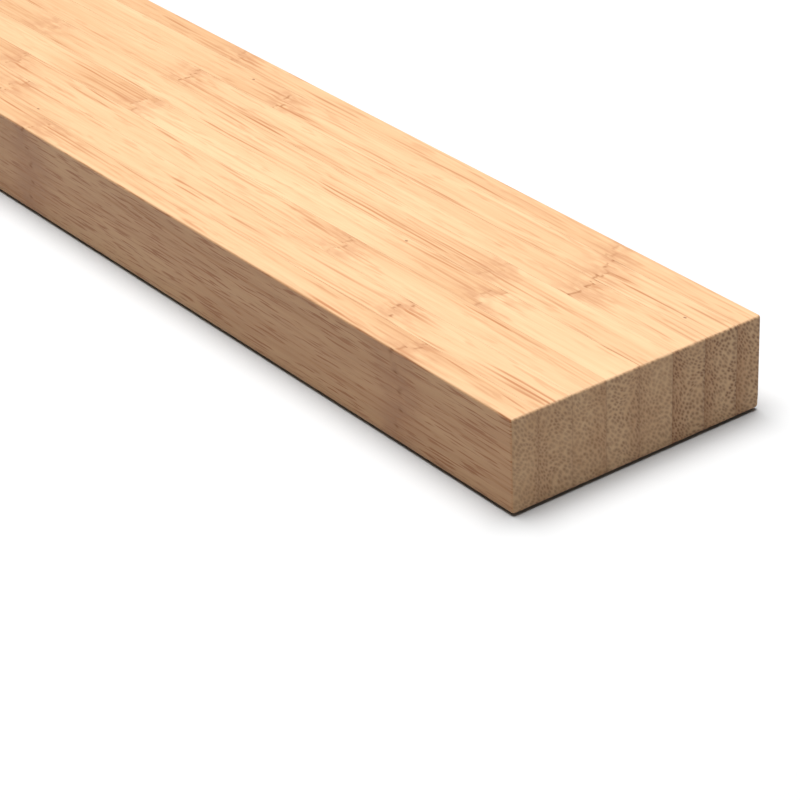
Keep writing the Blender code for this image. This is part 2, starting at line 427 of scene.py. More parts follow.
@dataclass(frozen=True)
class Fibres:
    """The fibres at a point: the nearest bundle, and the streaks and lines on the long faces."""

    distance: Wire
    own: Wire
    patch: Wire
    streak: Wire
    fine: Wire
    lines: Wire
    broad: Wire


@dataclass(frozen=True)
class Marks:
    """The marks on a strip: where its scars, glue lines and specks are, and the colour with them on."""

    colour: Wire
    scar: Wire
    seam: Wire
    speck: Wire


class BambooGrain:
    """The bamboo pattern, one solid pattern through the whole strip. Its lengths are in millimetres.

    The fibre bundles run the length of the strip and wander slowly, so that they show as dots on the end
    grain and as long tapered streaks on the other faces. Across the strip they crowd towards its outer side.
    At each knot the fibres bend, the bamboo reddens and a ragged scar crosses the strip. Towards the far end
    the pattern is plainer, painted shade makes the faces warmer and darker, and painted light makes the sides
    lighter and less red.
    """

    INPUTS = {
        "Place": Socket.VECTOR,
        "Facing": Socket.VECTOR,
        "Middle": 0.0,
        "Width": 8.0,
        "Dense Side": 1.0,
        "Seed": 0.0,
        "First Knot": 160.0,
        "Knot Spacing": 138.0,
        "Knot Lean": 0.0,
        "Knot Step": 0.0,
        "Scar": 0.5,
        "End Band": 0.5,
        "Streaks": 0.5,
        "Warmth": 0.3,
        "Bundle Pitch": 0.88,
        "Slope": 0.03,
        "Pale": (0.535, 0.348, 0.2, 1.0),
        "Warm": (0.445, 0.264, 0.139, 1.0),
        "Streak": (0.32, 0.14, 0.06, 1.0),
        "Blush": (0.36, 0.183, 0.095, 1.0),
        "Dark": (0.148, 0.066, 0.036, 1.0),
        "Scar Colour": (0.22, 0.085, 0.03, 1.0),
    }
    OUTPUTS = {"Colour": Socket.COLOUR, "Roughness": Socket.NUMBER, "Height": Socket.NUMBER}
    SEED_STEP = 31.7
    FACES_FROM, FACES_FULLY = 0.5, 0.85
    # The far-end ramp: it makes the pattern plainer and carries painted shade and painted light.
    DRIFT_START, DRIFT_STOP = 90.0, -100.0
    CHIP_WIDTH, CHIP_DEPTH, CHIP_JUMP = 2.3, 3.7, 3.2
    KNOT_REACH = 6.5
    BUNDLE_TURN_COS, BUNDLE_TURN_SIN = 0.82, 0.57
    BUNDLE_WIDE, BUNDLE_HIGH, BUNDLE_LOOSE = 1.6, 0.9, 0.72
    # A warm tint painted on the faces that look across the rack, as painted warm light.
    SIDE_PAINTED_WARM_LIGHT = (1.04, 0.97, 0.88, 1.0)

    def __init__(self) -> None:
        """Opens the group and sets out its points, knots and fibres."""
        self.sheet = NodeSheet.group("bamboo grain", TreeKind.SHADER, self.INPUTS, self.OUTPUTS)
        self.spot = self.find_spot()
        self.knot = self.find_knot()
        self.fibres = self.find_fibres()

    def cloud(self, along: float, across: float, deep: float, detail: float = 2.0) -> Wire:
        """Cloudy noise that differs from strip to strip.

        Args:
            along: the length of its clouds.
            across: their width.
            deep: their depth.
            detail: how much fine structure they have.

        Returns:
            The noise, from 0 to 1.
        """
        spot = self.spot
        place = self.sheet.join(spot.x / along + spot.shift, spot.y / across, spot.z / deep)
        return self.sheet.noise(place, detail)

    def find_spot(self) -> Spot:
        """Works out where the point lies in its strip and which way it faces.

        Returns:
            The spot.
        """
        sheet = self.sheet
        x, y, z = sheet.split(sheet.vector("SCALE", sheet["Place"], 1.0 / MM))
        nx, ny, _ = sheet.split(sheet["Facing"])
        local = y - sheet["Middle"]
        across = sheet.math("MULTIPLY", local / sheet["Width"], sheet["Dense Side"])
        return Spot(
            x=x,
            y=y,
            z=z,
            shift=sheet["Seed"] * self.SEED_STEP,
            local=local,
            dense=sheet.math("ADD", across, 0.5, clamp=True),
            far_plainness_and_painted_light=sheet.ramp(x, self.DRIFT_START, self.DRIFT_STOP),
            end=sheet.ramp(sheet.math("ABSOLUTE", nx), self.FACES_FROM, self.FACES_FULLY),
            side=sheet.ramp(sheet.math("ABSOLUTE", ny), self.FACES_FROM, self.FACES_FULLY),
        )

    def find_knot(self) -> Knot:
        """Finds the nearest knot. Its ring is broken into chips that have slipped along the strip.

        Returns:
            The knot.
        """
        sheet, spot = self.sheet, self.spot
        ragged = sheet.noise(sheet.join(spot.shift, spot.y / 1.1, spot.z / 2.0), 2.0) - 0.5
        row = sheet.math("FLOOR", spot.y / self.CHIP_WIDTH + spot.shift)
        layer = sheet.math("FLOOR", spot.z / self.CHIP_DEPTH)
        jag = sheet.chance(sheet.join(row, layer, spot.shift)) - 0.5
        straight = spot.x - sheet["First Knot"] - sheet["Knot Lean"] * spot.local + ragged
        half = sheet["Knot Spacing"] * 0.5
        place = sheet.math("WRAP", straight + jag * self.CHIP_JUMP, half, half * -1.0)
        beyond = sheet.ramp(place, 0.25, -0.25) * sheet.ramp(place, -46.0, -12.0)
        before = sheet.ramp(place, -0.2, 0.4) * sheet.ramp(place, 13.0, 1.0)
        near = sheet.bell(place, self.KNOT_REACH)
        return Knot(ragged, jag, straight, place, near, sheet["Knot Step"] * beyond, sheet["Scar"] * before)

    def find_bundles(self) -> tuple[Wire, Wire]:
        """Sets out the fibre bundles.

        Returns:
            The distance to the nearest bundle, and a number from 0 to 1 that is its own.
        """
        sheet, spot = self.sheet, self.spot
        x, y, z = spot.x, spot.y, spot.z
        swirl = self.knot.near * (self.cloud(5.0, 2.5, 2.5, 1.0) - 0.5) * 1.4
        sway_y = (self.cloud(52.0, 8.0, 8.0, 1.0) - 0.5) * 2.6
        sway_z = (sheet.noise(sheet.join(y / 6.0, x / 34.0 + spot.shift, z / 9.0), 1.0) - 0.5) * 3.4
        crowd = sheet["Dense Side"] * spot.dense * spot.dense * sheet["Width"] * 0.28
        row_y = spot.local + sway_y + swirl + crowd
        row_z = z + sway_z + x * sheet["Slope"]
        wide, high = sheet["Bundle Pitch"] * self.BUNDLE_WIDE, sheet["Bundle Pitch"] * self.BUNDLE_HIGH
        u = (row_y * self.BUNDLE_TURN_COS - row_z * self.BUNDLE_TURN_SIN) / wide + spot.shift
        v = (row_y * self.BUNDLE_TURN_SIN + row_z * self.BUNDLE_TURN_COS) / high
        return sheet.cells(sheet.join(u, v, 0.0), "2D", self.BUNDLE_LOOSE)

    def find_fibres(self) -> Fibres:
        """Gathers the bundles into streaks and adds thinner, sharper lines that run a short way.

        Returns:
            The fibres.
        """
        sheet, spot, knot = self.sheet, self.spot, self.knot
        x, y, z, shift, far_plainness_and_painted_light = spot.x, spot.y, spot.z, spot.shift, spot.far_plainness_and_painted_light
        distance, own = self.find_bundles()
        patch = sheet.ramp(self.cloud(40.0, 3.8, 4.2), 0.36, 0.64)
        gather = sheet["Streaks"] + patch * 0.85 + spot.dense * 0.35 - 0.5
        gather = gather + knot.step * 1.1 + knot.tail * 0.7 - far_plainness_and_painted_light * 0.2
        gather = sheet.math("MAXIMUM", gather, 0.05)
        bundle = sheet.ramp(distance, 0.6, 0.1) * (own * own * 0.9 + 0.15)
        streak = sheet.math("MULTIPLY", bundle, gather, clamp=True)
        fine = sheet.noise(sheet.join(x / 11.0, y / 0.24 + shift, z / 0.24), 2.0, 0.6)
        thick = sheet.ramp(sheet.noise(sheet.join(x / 24.0, y / 3.0 + shift, z / 3.0), 1.0), 0.42, 0.62)
        share = thick * (0.5 - far_plainness_and_painted_light * 0.25) + spot.side * (0.85 - far_plainness_and_painted_light * 0.4) + knot.tail * 0.6 + 0.15
        lines = sheet.ramp(self.cloud(7.5, 0.85, 0.4, 1.5), 0.53, 0.68) * share
        return Fibres(distance, own, patch, streak, fine, lines, self.cloud(46.0, 1.3, 1.3))

    def paint_faces(self) -> Wire:
        """Mixes the colour of the long faces: pale and warm bamboo, streaks and lines, and sides reddened by
        painted warm light and by blush near the knots.

        Returns:
            The colour.
        """
        sheet, spot, knot, fibres = self.sheet, self.spot, self.knot, self.fibres
        tone = self.cloud(75.0, 6.0, 7.0)
        # Painted shade: the faces turn warmer and darker towards the far end of the rack.
        warmth = sheet["Warmth"] + spot.far_plainness_and_painted_light * 0.42 + (fibres.broad - 0.5) * 1.1 + (tone - 0.5) * 1.2
        warmth = sheet.math("ADD", warmth + knot.step * 0.75, spot.dense * 0.1, clamp=True)
        colour = sheet.tint(warmth, sheet["Pale"], sheet["Warm"])
        streaked = fibres.streak * (0.95 - spot.end * 0.8 - spot.side * 0.35)
        colour = sheet.tint(streaked, colour, sheet["Streak"])
        lined = fibres.lines * (1.0 - spot.end) * (0.5 + spot.side * 0.4)
        colour = sheet.tint(lined, colour, sheet["Streak"])
        # Painted warm light on the sides, weaker towards the far end, with blush near the knots.
        side_blush_and_painted_warmth = 0.22 - spot.far_plainness_and_painted_light * 0.16 + (fibres.patch - 0.5) * 0.2 + knot.near * 0.34
        colour = sheet.tint(spot.side * sheet.math("MAXIMUM", side_blush_and_painted_warmth, 0.0), colour, sheet["Blush"])
        # Painted warm light: the sides are tinted warmer.
        colour = sheet.tint(spot.side, colour, self.SIDE_PAINTED_WARM_LIGHT, "MULTIPLY")
        blush = sheet.ramp(self.cloud(4.5, 2.2, 3.0), 0.30, 0.66)
        colour = sheet.tint(knot.near * blush * 0.62, colour, sheet["Blush"])
        return sheet.tint(1.0, colour, grey(1.0 + (fibres.fine - 0.5) * 0.22), "MULTIPLY")

    def paint_end(self, colour: Wire) -> tuple[Wire, Wire]:
        """Puts the end grain on: every bundle shows as a dark dot, and the outer side is darker.

        Args:
            colour: the colour of the long faces.

        Returns:
            The new colour, and where the dots are.
        """
        sheet, spot, fibres = self.sheet, self.spot, self.fibres
        patch = sheet.noise(sheet.join(spot.y / 4.5 + spot.shift, spot.z / 5.5, spot.shift), 1.0)
        dot = spot.end * sheet.ramp(fibres.distance, 0.56, 0.1) * (fibres.own * 0.3 + 0.7)
        dot = dot * sheet.ramp(patch, 0.32, 0.62, 0.6, 1.0) * (sheet["End Band"] * 0.6 + 0.4)
        band = sheet.ramp(spot.dense + (patch - 0.5) * 0.5, 0.4, 1.0) * sheet["End Band"]
        colour = sheet.tint(spot.end * band * 0.36, colour, sheet["Streak"])
        between = sheet.ramp(fibres.distance, 0.45, 0.75) * 0.07 - 0.01
        colour = sheet.tint(1.0, colour, grey(1.0 + spot.end * between), "MULTIPLY")
        return sheet.tint(dot * 0.74, colour, sheet["Dark"]), dot

    def paint_marks(self, colour: Wire) -> Marks:
        """Puts the knots' scars, the glue lines and a few dark specks on.

        Args:
            colour: the colour without them.

        Returns:
            The marks.
        """
        sheet, spot, knot = self.sheet, self.spot, self.knot
        broken = sheet.ramp(self.cloud(3.0, 1.6, 1.6), 0.45, 0.57)
        pore = sheet.bell(sheet.math("PINGPONG", spot.z + knot.ragged * 4.5, 2.1), 0.5)
        pores = spot.side * pore * sheet.bell(knot.place + knot.ragged * 4.0, 0.65)
        chip = sheet.math("FRACT", spot.y / self.CHIP_WIDTH + spot.shift)
        to_chip = (0.5 - sheet.math("ABSOLUTE", chip - 0.5)) * self.CHIP_WIDTH
        hook = sheet.bell(to_chip, 0.2) * sheet.bell(knot.straight - knot.jag * 1.5, 1.6) * knot.near
        line = (sheet.bell(knot.place, 0.42) + hook * 0.8) * broken
        line = line * (1.0 - spot.side * 0.85) * (1.0 - spot.end)
        scar = sheet.math("MULTIPLY", line * 0.85 + pores * 1.1, sheet["Scar"], clamp=True)
        colour = sheet.tint(scar * (0.8 + spot.side * 0.2), colour, sheet["Scar Colour"])

        to_seam = sheet["Width"] * 0.5 - sheet.math("ABSOLUTE", spot.local)
        seam = sheet.bell(to_seam, 0.12)
        colour = sheet.tint(seam * (0.07 + spot.end * 0.1), colour, sheet["Dark"])
        soaked = spot.end * sheet.bell(to_seam, 0.6) * sheet["End Band"]
        colour = sheet.tint(soaked * 0.2, colour, sheet["Dark"])

        place = sheet.join(spot.x / 11.0, spot.y / 7.0 + spot.shift, spot.z / 7.0)
        distance, own = sheet.cells(place, "3D", 1.0)
        speck = sheet.ramp(distance, 0.05, 0.03) * sheet.ramp(own, 0.55, 0.6)
        return Marks(sheet.tint(speck * 0.7, colour, sheet["Dark"]), scar, seam, speck)

    def draw(self) -> bpy.types.NodeTree:
        """Draws up the whole pattern.

        Returns:
            The group.
        """
        sheet, spot, fibres = self.sheet, self.spot, self.fibres
        colour, dot = self.paint_end(self.paint_faces())
        marks = self.paint_marks(colour)
        face = 1.0 - sheet.math("MAXIMUM", spot.end, spot.side)
        hollow = fibres.streak * 0.45 + marks.scar * 0.8 + dot * 0.9 + marks.seam * 0.6 + face * marks.speck
        rough = 0.44 + fibres.streak * 0.12 + spot.end * 0.16 + marks.scar * 0.2
        sheet.put("Colour", marks.colour)
        sheet.put("Height", fibres.fine * 0.35 + fibres.broad * 0.25 - hollow)
        sheet.put("Roughness", rough + (fibres.fine - 0.5) * 0.1)
        return sheet.tree


def metal_wear_group() -> bpy.types.NodeTree:
    """Draws up the handling marks of small plated parts: clouding, hairline scratches and small pits.

    Returns:
        The group. Its lengths are in millimetres.
    """
    sheet = NodeSheet.group(
        "metal wear",
        TreeKind.SHADER,
        {
            "Place": Socket.VECTOR,
            "Seed": 0.0,
            "Colour": (0.6, 0.6, 0.6, 1.0),
            "Stain": (0.3, 0.28, 0.25, 1.0),
            "Cloud Size": 3.0,
            "Roughness": 0.3,
            "Scratches": 0.5,
            "Stain Share": 0.3,
        },
        {"Colour": Socket.COLOUR, "Roughness": Socket.NUMBER, "Height": Socket.NUMBER},
    )
    scratch_gap, scratch_depth, pit_gap = 0.16, 0.3, 1.1
    x, y, z = sheet.split(sheet.vector("SCALE", sheet["Place"], 1.0 / MM))
    shift = sheet["Seed"] * 17.3
    size = sheet["Cloud Size"]
    cloud = sheet.noise(sheet.join(x / size + shift, y / size, z / size), 3.0, 0.6)
    scratch: Value = 0.0
    for turn, length in ((0.35, 7.0), (1.9, 5.0), (2.7, 9.0)):
        run = (x * math.cos(turn) + y * math.sin(turn)) / length
        gap = (y * math.cos(turn) - x * math.sin(turn)) / scratch_gap
        mark = sheet.ramp(sheet.noise(sheet.join(run + shift, gap, z / scratch_depth), 1.0), 0.66, 0.72)
        scratch = sheet.math("MAXIMUM", scratch, mark * sheet["Scratches"])
    pits, pit_own = sheet.cells(sheet.join(x / pit_gap + shift, y / pit_gap, z / pit_gap), "3D", 1.0)
    pit = sheet.ramp(pits, 0.14, 0.05) * sheet.ramp(pit_own, 0.7, 0.8)
    stained = sheet.ramp(cloud, 0.45, 0.75) * sheet["Stain Share"]
    colour = sheet.tint(stained, sheet["Colour"], sheet["Stain"])
    colour = sheet.tint(1.0, colour, grey(0.92 + cloud * 0.16 + scratch * 0.15 - pit * 0.25), "MULTIPLY")
    sheet.put("Colour", colour)
    sheet.put("Roughness", sheet["Roughness"] + (cloud - 0.5) * 0.22 + scratch * 0.16 + pit * 0.2)
    sheet.put("Height", cloud * 0.2 - scratch * 0.5 - pit * 0.8)
    return sheet.tree


# ------------------------------------------------------------------------------------------------------------
# Finishes
# ------------------------------------------------------------------------------------------------------------


class DenseSide(Enum):
    """The side of a strip on which the bundles crowd: the outer side of the stalk."""

    LOW_Y = -1.0
    HIGH_Y = 1.0


def shaded_material(
    name: str,
    group: bpy.types.NodeTree,
    values: dict,
    bump: float,
    metallic: float = 0.0,
    shine: float = 0.5,
    facing: bool = False,
) -> bpy.types.Material:
    """Makes a material whose colour, roughness and bump come from one group on Object coordinates.

    Args:
        name: the material's name.
        group: the shader group.
        values: the group's inputs by name.
        bump: the depth of the bump in metres.
        metallic: 0 or 1, set on the shader itself.
        shine: how much light the surface mirrors, with 0.5 as usual.
        facing: give the group the surface's own direction.

    Returns:
        The material.
    """
    material = bpy.data.materials.new(name)
    material.use_nodes = True
    material.node_tree.nodes.clear()
    sheet = NodeSheet(material.node_tree)
    shader = sheet.node("ShaderNodeBsdfPrincipled", {"Metallic": metallic, "Specular IOR Level": shine})
    ending = sheet.node("ShaderNodeOutputMaterial")
    sheet.feed(ending.inputs["Surface"], sheet.wire(shader))
    effect = sheet.node("ShaderNodeGroup", node_tree=group)
    for label, value in values.items():
        effect.inputs[label].default_value = value
    sheet.feed(effect.inputs["Place"], sheet.wire(sheet.node("ShaderNodeTexCoord"), "Object"))
    if facing:
        sheet.feed(effect.inputs["Facing"], sheet.wire(sheet.node("ShaderNodeNewGeometry"), "Normal"))
    sheet.feed(shader.inputs["Base Color"], sheet.wire(effect, "Colour"))
    sheet.feed(shader.inputs["Roughness"], sheet.wire(effect, "Roughness"))
    feeds = {"Strength": 1.0, "Distance": bump, "Height": sheet.wire(effect, "Height")}
    relief = sheet.node("ShaderNodeBump", feeds)
    sheet.feed(shader.inputs["Normal"], sheet.wire(relief))
    return material


@dataclass(frozen=True)
class BambooFinish:
    """The look of one bamboo strip. Lengths are in millimetres, in the rack's own frame."""

    name: str
    middle: float
    width: float
    dense_side: DenseSide
    seed: float
    first_knot: float
    knot_spacing: float
    knot_lean: float
    knot_step: float
    scar: float
    end_band: float
    streaks: float
    warmth: float
    slope: float
    pitch: float = 0.88
    bump: float = 0.06
    shine: float = 0.2

    def make(self, group: bpy.types.NodeTree) -> bpy.types.Material:
        """Makes the material.

        Args:
            group: the bamboo grain group.

        Returns:
            The material.
        """
        values = {
            "Middle": self.middle,
            "Width": self.width,
            "Dense Side": self.dense_side.value,
            "Seed": self.seed,
            "First Knot": self.first_knot,
            "Knot Spacing": self.knot_spacing,
            "Knot Lean": self.knot_lean,
            "Knot Step": self.knot_step,
            "Scar": self.scar,
            "End Band": self.end_band,
            "Streaks": self.streaks,
            "Warmth": self.warmth,
            "Slope": self.slope,
            "Bundle Pitch": self.pitch,
        }
        return shaded_material(self.name, group, values, self.bump * MM, shine=self.shine, facing=True)


@dataclass(frozen=True)
class MetalFinish:
    """The look of one plated or bare metal."""

    name: str
    colour: Colour
    stain: Colour
    roughness: float
    cloud_size: float
    scratches: float
    stain_share: float
    seed: float
    bump: float = 0.00002

    def make(self, group: bpy.types.NodeTree) -> bpy.types.Material:
        """Makes the material.

        Args:
            group: the metal wear group.

        Returns:
            The material.
        """
        values = {
            "Colour": rgba(self.colour),
            "Stain": rgba(self.stain),
            "Roughness": self.roughness,
            "Cloud Size": self.cloud_size,
            "Scratches": self.scratches,
            "Stain Share": self.stain_share,
            "Seed": self.seed,
        }
        return shaded_material(self.name, group, values, self.bump, metallic=1.0)


@dataclass(frozen=True)
class RubberFinish:
    """Matt black rubber with a fine skin, a little dusty. Its grain is in millimetres."""

    name: str = "pad rubber"
    colour: Colour = (0.03, 0.03, 0.032)
    dust: Colour = (0.16, 0.15, 0.14)
    grain: float = 0.12
    bump: float = 0.00002

    def make(self) -> bpy.types.Material:
        """Makes the material.

        Returns:
            The material.
        """
        material = bpy.data.materials.new(self.name)
        material.use_nodes = True
        sheet = NodeSheet(material.node_tree)
        shader = material.node_tree.nodes["Principled BSDF"]
        place = sheet.vector("SCALE", sheet.wire(sheet.node("ShaderNodeTexCoord"), "Object"), 1.0 / MM)
        skin, own = sheet.cells(sheet.vector("SCALE", place, 1.0 / self.grain), "3D", 1.0)
        cloud = sheet.noise(sheet.vector("SCALE", place, 0.6), 4.0, 0.65)
        dusty = sheet.ramp(cloud, 0.48, 0.74) * (0.25 + own * 0.3)
        colour = sheet.tint(dusty, rgba(self.colour), rgba(self.dust))
        sheet.feed(shader.inputs["Base Color"], colour)
        sheet.feed(shader.inputs["Roughness"], 0.62 + cloud * 0.25)
        relief = sheet.node("ShaderNodeBump", {"Distance": self.bump, "Height": skin * 0.5 + cloud * 0.5})
        sheet.feed(shader.inputs["Normal"], sheet.wire(relief))
        return material


# ------------------------------------------------------------------------------------------------------------
# Geometry trees
# ------------------------------------------------------------------------------------------------------------


def strip_tree() -> bpy.types.NodeTree:
    """Draws up a glued bamboo strip.

    It is a dense block, rounded where it is at the rack's edge, with a sanded relief on its open faces.

    Returns:
        The tree.
    """
    sheet = NodeSheet.shape(
        "bamboo strip",
        {
            "Length": 0.4,
            "Rack Width": 0.06,
            "Strip Width": 0.008,
            "Strip Middle": 0.0,
            "Thickness": 0.02,
            "Back": 0.0005,
            "Front Round": 0.0006,
            "Back Round": 0.0008,
            "Hairline": 0.00001,
            "Lines Along": 300,
            "Lines Across": 24,
            "Lines Up": 26,
            "Edge Lines": 5.0,
            "Relief": 0.00005,
            "Seed": 0.0,
            "First Knot": 0.16,
            "Knot Spacing": 0.138,
        },
    )
    width = sheet["Strip Width"] - sheet["Hairline"]
    feeds = {
        "Size": sheet.join(sheet["Length"], width, sheet["Thickness"]),
        "Vertices X": sheet["Lines Along"],
        "Vertices Y": sheet["Lines Across"],
        "Vertices Z": sheet["Lines Up"],
    }
    block = sheet.node("GeometryNodeMeshCube", feeds)
    place = sheet.wire(sheet.node("GeometryNodeInputPosition"))
    x, y, z = sheet.split(place)

    def crowd(value: Wire, full: Wire, lines: Wire) -> Wire:
        """Moves the mesh lines next to both ends into the width of the rounded edge.

        Args:
            value: the place along one axis, from the block's middle.
            full: the block's size along it.
            lines: how many mesh lines it has.

        Returns:
            The new place.
        """
        half = full * 0.5
        zone = full / (lines - 1.0) * sheet["Edge Lines"]
        inward = half - sheet.math("ABSOLUTE", value)
        edge = sheet["Back Round"]
        outer = inward * edge / zone
        inner = edge + (inward - zone) * (half - edge) / (half - zone)
        return sheet.math("SIGN", value) * (half - sheet.math("MAXIMUM", outer, inner))

    crowded = sheet.join(
        crowd(x, sheet["Length"], sheet["Lines Along"]),
        crowd(y, width, sheet["Lines Across"]) + sheet["Strip Middle"],
        crowd(z, sheet["Thickness"], sheet["Lines Up"]) + sheet["Thickness"] * 0.5 + sheet["Back"],
    )
    laid = sheet.node("GeometryNodeSetPosition", {"Geometry": sheet.wire(block), "Position": crowded})

    half_x = sheet["Length"] * 0.5
    half_y = sheet["Rack Width"] * 0.5
    front = sheet["Back"] + sheet["Thickness"]
    low = sheet["Back"] + MM
    radius = sheet.ramp(z, low, low + 2 * MM, sheet["Back Round"], sheet["Front Round"])

    def held(value: Wire, bottom: Value, top: Value) -> Wire:
        """Keeps a number between two others."""
        return sheet.math("MINIMUM", sheet.math("MAXIMUM", value, bottom), top)

    core = sheet.join(
        held(x, radius - half_x, half_x - radius),
        held(y, radius - half_y, half_y - radius),
        held(z, sheet["Back"] + radius, front - radius),
    )
    out = sheet.vector("SUBTRACT", place, core)
    reach = sheet.wire(sheet.node("ShaderNodeVectorMath", {0: out}, operation="LENGTH"), "Value")
    share = sheet.math("MINIMUM", radius / sheet.math("MAXIMUM", reach, TINY), 1.0)
    rounded = sheet.vector("ADD", core, sheet.vector("SCALE", out, share))
    eased = sheet.node("GeometryNodeSetPosition", {"Geometry": sheet.wire(laid), "Position": rounded})

    # The relief fades out within this depth of each open face.
    fade = 3 * MM
    shift = sheet["Seed"] * 13.1
    slow = sheet.noise(sheet.join(x / 0.026 + shift, y / 0.0026, z / 0.0035), 1.0)
    quick = sheet.noise(sheet.join(x / 0.009, y / 0.0007 + shift, z / 0.0009), 1.0)
    loose = x - sheet["First Knot"] + (slow - 0.5) * 0.002
    half = sheet["Knot Spacing"] * 0.5
    knot = sheet.bell(sheet.math("WRAP", loose, half, half * -1.0), 0.0012)
    depth = (slow * 0.5 + quick * 0.35 + knot * quick * 1.1) * sheet["Relief"]
    on_front = sheet.ramp(z, front - fade, front, soft=False)
    on_back = sheet.ramp(z, sheet["Back"] + fade, sheet["Back"], soft=False)
    on_side = sheet.ramp(sheet.math("ABSOLUTE", y), half_y - fade, half_y, soft=False)
    on_end = sheet.ramp(sheet.math("ABSOLUTE", x), half_x - fade, half_x, soft=False)
    move = sheet.join(
        sheet.math("SIGN", x) * on_end * quick * sheet["Relief"] * -0.5,
        sheet.math("SIGN", y) * on_side * depth * -1.0,
        depth * (on_back - on_front),
    )
    return sheet.finish_shape(
        sheet.node("GeometryNodeSetPosition", {"Geometry": sheet.wire(eased), "Offset": move})
    )


def set_out(sheet: NodeSheet, points: Wire) -> bpy.types.NodeTree:
    """Ends a tree that copies a pattern to points, each copy turned about Z by its own chance angle.

    Args:
        sheet: a tree with Pattern, Turn and Seed among its inputs.
        points: where the copies go.

    Returns:
        The tree.
    """
    info = sheet.node("GeometryNodeObjectInfo", {"Object": sheet["Pattern"]})
    angle = sheet.node("FunctionNodeRandomValue", data_type="FLOAT")
    for label, value in (("Max", sheet["Turn"]), ("Seed", sheet["Seed"])):
        socket = next(s for s in angle.inputs if s.name == label and s.enabled)
        sheet.feed(socket, value)
    chosen = Wire(sheet, next(s for s in angle.outputs if s.enabled))
    feeds = {
        "Points": points,
        "Instance": sheet.wire(info, "Geometry"),
        "Rotation": sheet.join(0.0, 0.0, chosen),
    }
    copies = sheet.node("GeometryNodeInstanceOnPoints", feeds)
    return sheet.finish_shape(
        sheet.node("GeometryNodeRealizeInstances", {"Geometry": sheet.wire(copies)})
    )


def row_tree() -> bpy.types.NodeTree:
    """Draws up a row of copies along X, centred on the origin.

    Returns:
        The tree.
    """
    inputs = {"Pattern": Socket.PATTERN, "Count": 2, "Spacing": 0.02, "Turn": 0.0, "Seed": 1}
    sheet = NodeSheet.shape("row of copies", inputs)
    start = sheet["Spacing"] * (sheet["Count"] - 1.0) * -0.5
    feeds = {
        "Count": sheet["Count"],
        "Start Location": sheet.join(start, 0.0, 0.0),
        "Offset": sheet.join(sheet["Spacing"], 0.0, 0.0),
    }
    return set_out(sheet, sheet.wire(sheet.node("GeometryNodeMeshLine", feeds)))


def corners_tree() -> bpy.types.NodeTree:
    """Draws up four copies at the corners of a rectangle centred on the origin.

    Returns:
        The tree.
    """
    inputs = {"Pattern": Socket.PATTERN, "Span Along": 0.3, "Span Across": 0.03, "Turn": 0.0, "Seed": 1}
    sheet = NodeSheet.shape("copies at corners", inputs)
    feeds = {"Size X": sheet["Span Along"], "Size Y": sheet["Span Across"], "Vertices X": 2, "Vertices Y": 2}
    return set_out(sheet, sheet.wire(sheet.node("GeometryNodeMeshGrid", feeds)))


def thread_tree() -> bpy.types.NodeTree:
    """Draws up a screw thread, cut into a turned blank that stands along Z.

    Returns:
        The tree.
    """
    inputs = {
        "Pitch": 0.0012,
        "Depth": 0.0004,
        "Start": 0.003,
        "Stop": 0.012,
        "Run In": 0.0012,
        "Run Out": 0.001,
    }
    sheet = NodeSheet.shape("screw thread", inputs)
    x, y, z = sheet.split(sheet.wire(sheet.node("GeometryNodeInputPosition")))
    turn = sheet.math("ARCTAN2", y, x) / math.tau
    phase = sheet.math("FRACT", z / sheet["Pitch"] - turn)
    root = sheet.ramp(sheet.math("ABSOLUTE", phase - 0.5), 0.12, 0.38)
    run_in = sheet.ramp(z, sheet["Start"], sheet["Start"] + sheet["Run In"])
    run_out = sheet.ramp(z, sheet["Stop"], sheet["Stop"] - sheet["Run Out"])
    cut = root * run_in * run_out * sheet["Depth"]
    radius = sheet.math("MAXIMUM", sheet.math("SQRT", x * x + y * y), TINY)
    share = sheet.math("MINIMUM", cut / radius, 0.45) * -1.0
    feeds = {"Geometry": sheet["Geometry"], "Offset": sheet.join(x * share, y * share, 0.0)}
    return sheet.finish_shape(sheet.node("GeometryNodeSetPosition", feeds))


def rings_tree() -> bpy.types.NodeTree:
    """Draws up moulded rings in the low face of a turned disc that lies across Z.

    Returns:
        The tree.
    """
    inputs = {
        "Pitch": 0.0012,
        "Depth": 0.0002,
        "Inner": 0.0008,
        "Outer": 0.0042,
        "Slope": 0.0002,
        "Face": 0.0003,
    }
    sheet = NodeSheet.shape("moulded rings", inputs)
    x, y, z = sheet.split(sheet.wire(sheet.node("GeometryNodeInputPosition")))
    radius = sheet.math("SQRT", x * x + y * y)
    wave = sheet.math("COSINE", (radius - sheet["Inner"]) * math.tau / sheet["Pitch"]) * -0.5 + 0.5
    inside = sheet.ramp(radius, sheet["Outer"], sheet["Outer"] - sheet["Slope"], soft=False)
    outside = sheet.ramp(radius, sheet["Inner"] - sheet["Slope"], sheet["Inner"], soft=False)
    low_face = sheet.math("LESS_THAN", z, sheet["Face"])
    rise = wave * inside * outside * low_face * sheet["Depth"]
    feeds = {"Geometry": sheet["Geometry"], "Offset": sheet.join(0.0, 0.0, rise)}
    return sheet.finish_shape(sheet.node("GeometryNodeSetPosition", feeds))


# ------------------------------------------------------------------------------------------------------------
# Mesh work
# ------------------------------------------------------------------------------------------------------------


def empty_object(name: str, data: bpy.types.ID | None = None) -> bpy.types.Object:
    """Adds an object at the origin.

    Args:
        name: its name.
        data: its mesh or curve, or None for an empty mesh.

    Returns:
        The object.
    """
    item = bpy.data.objects.new(name, data or bpy.data.meshes.new(name))
    bpy.context.scene.collection.objects.link(item)
    return item


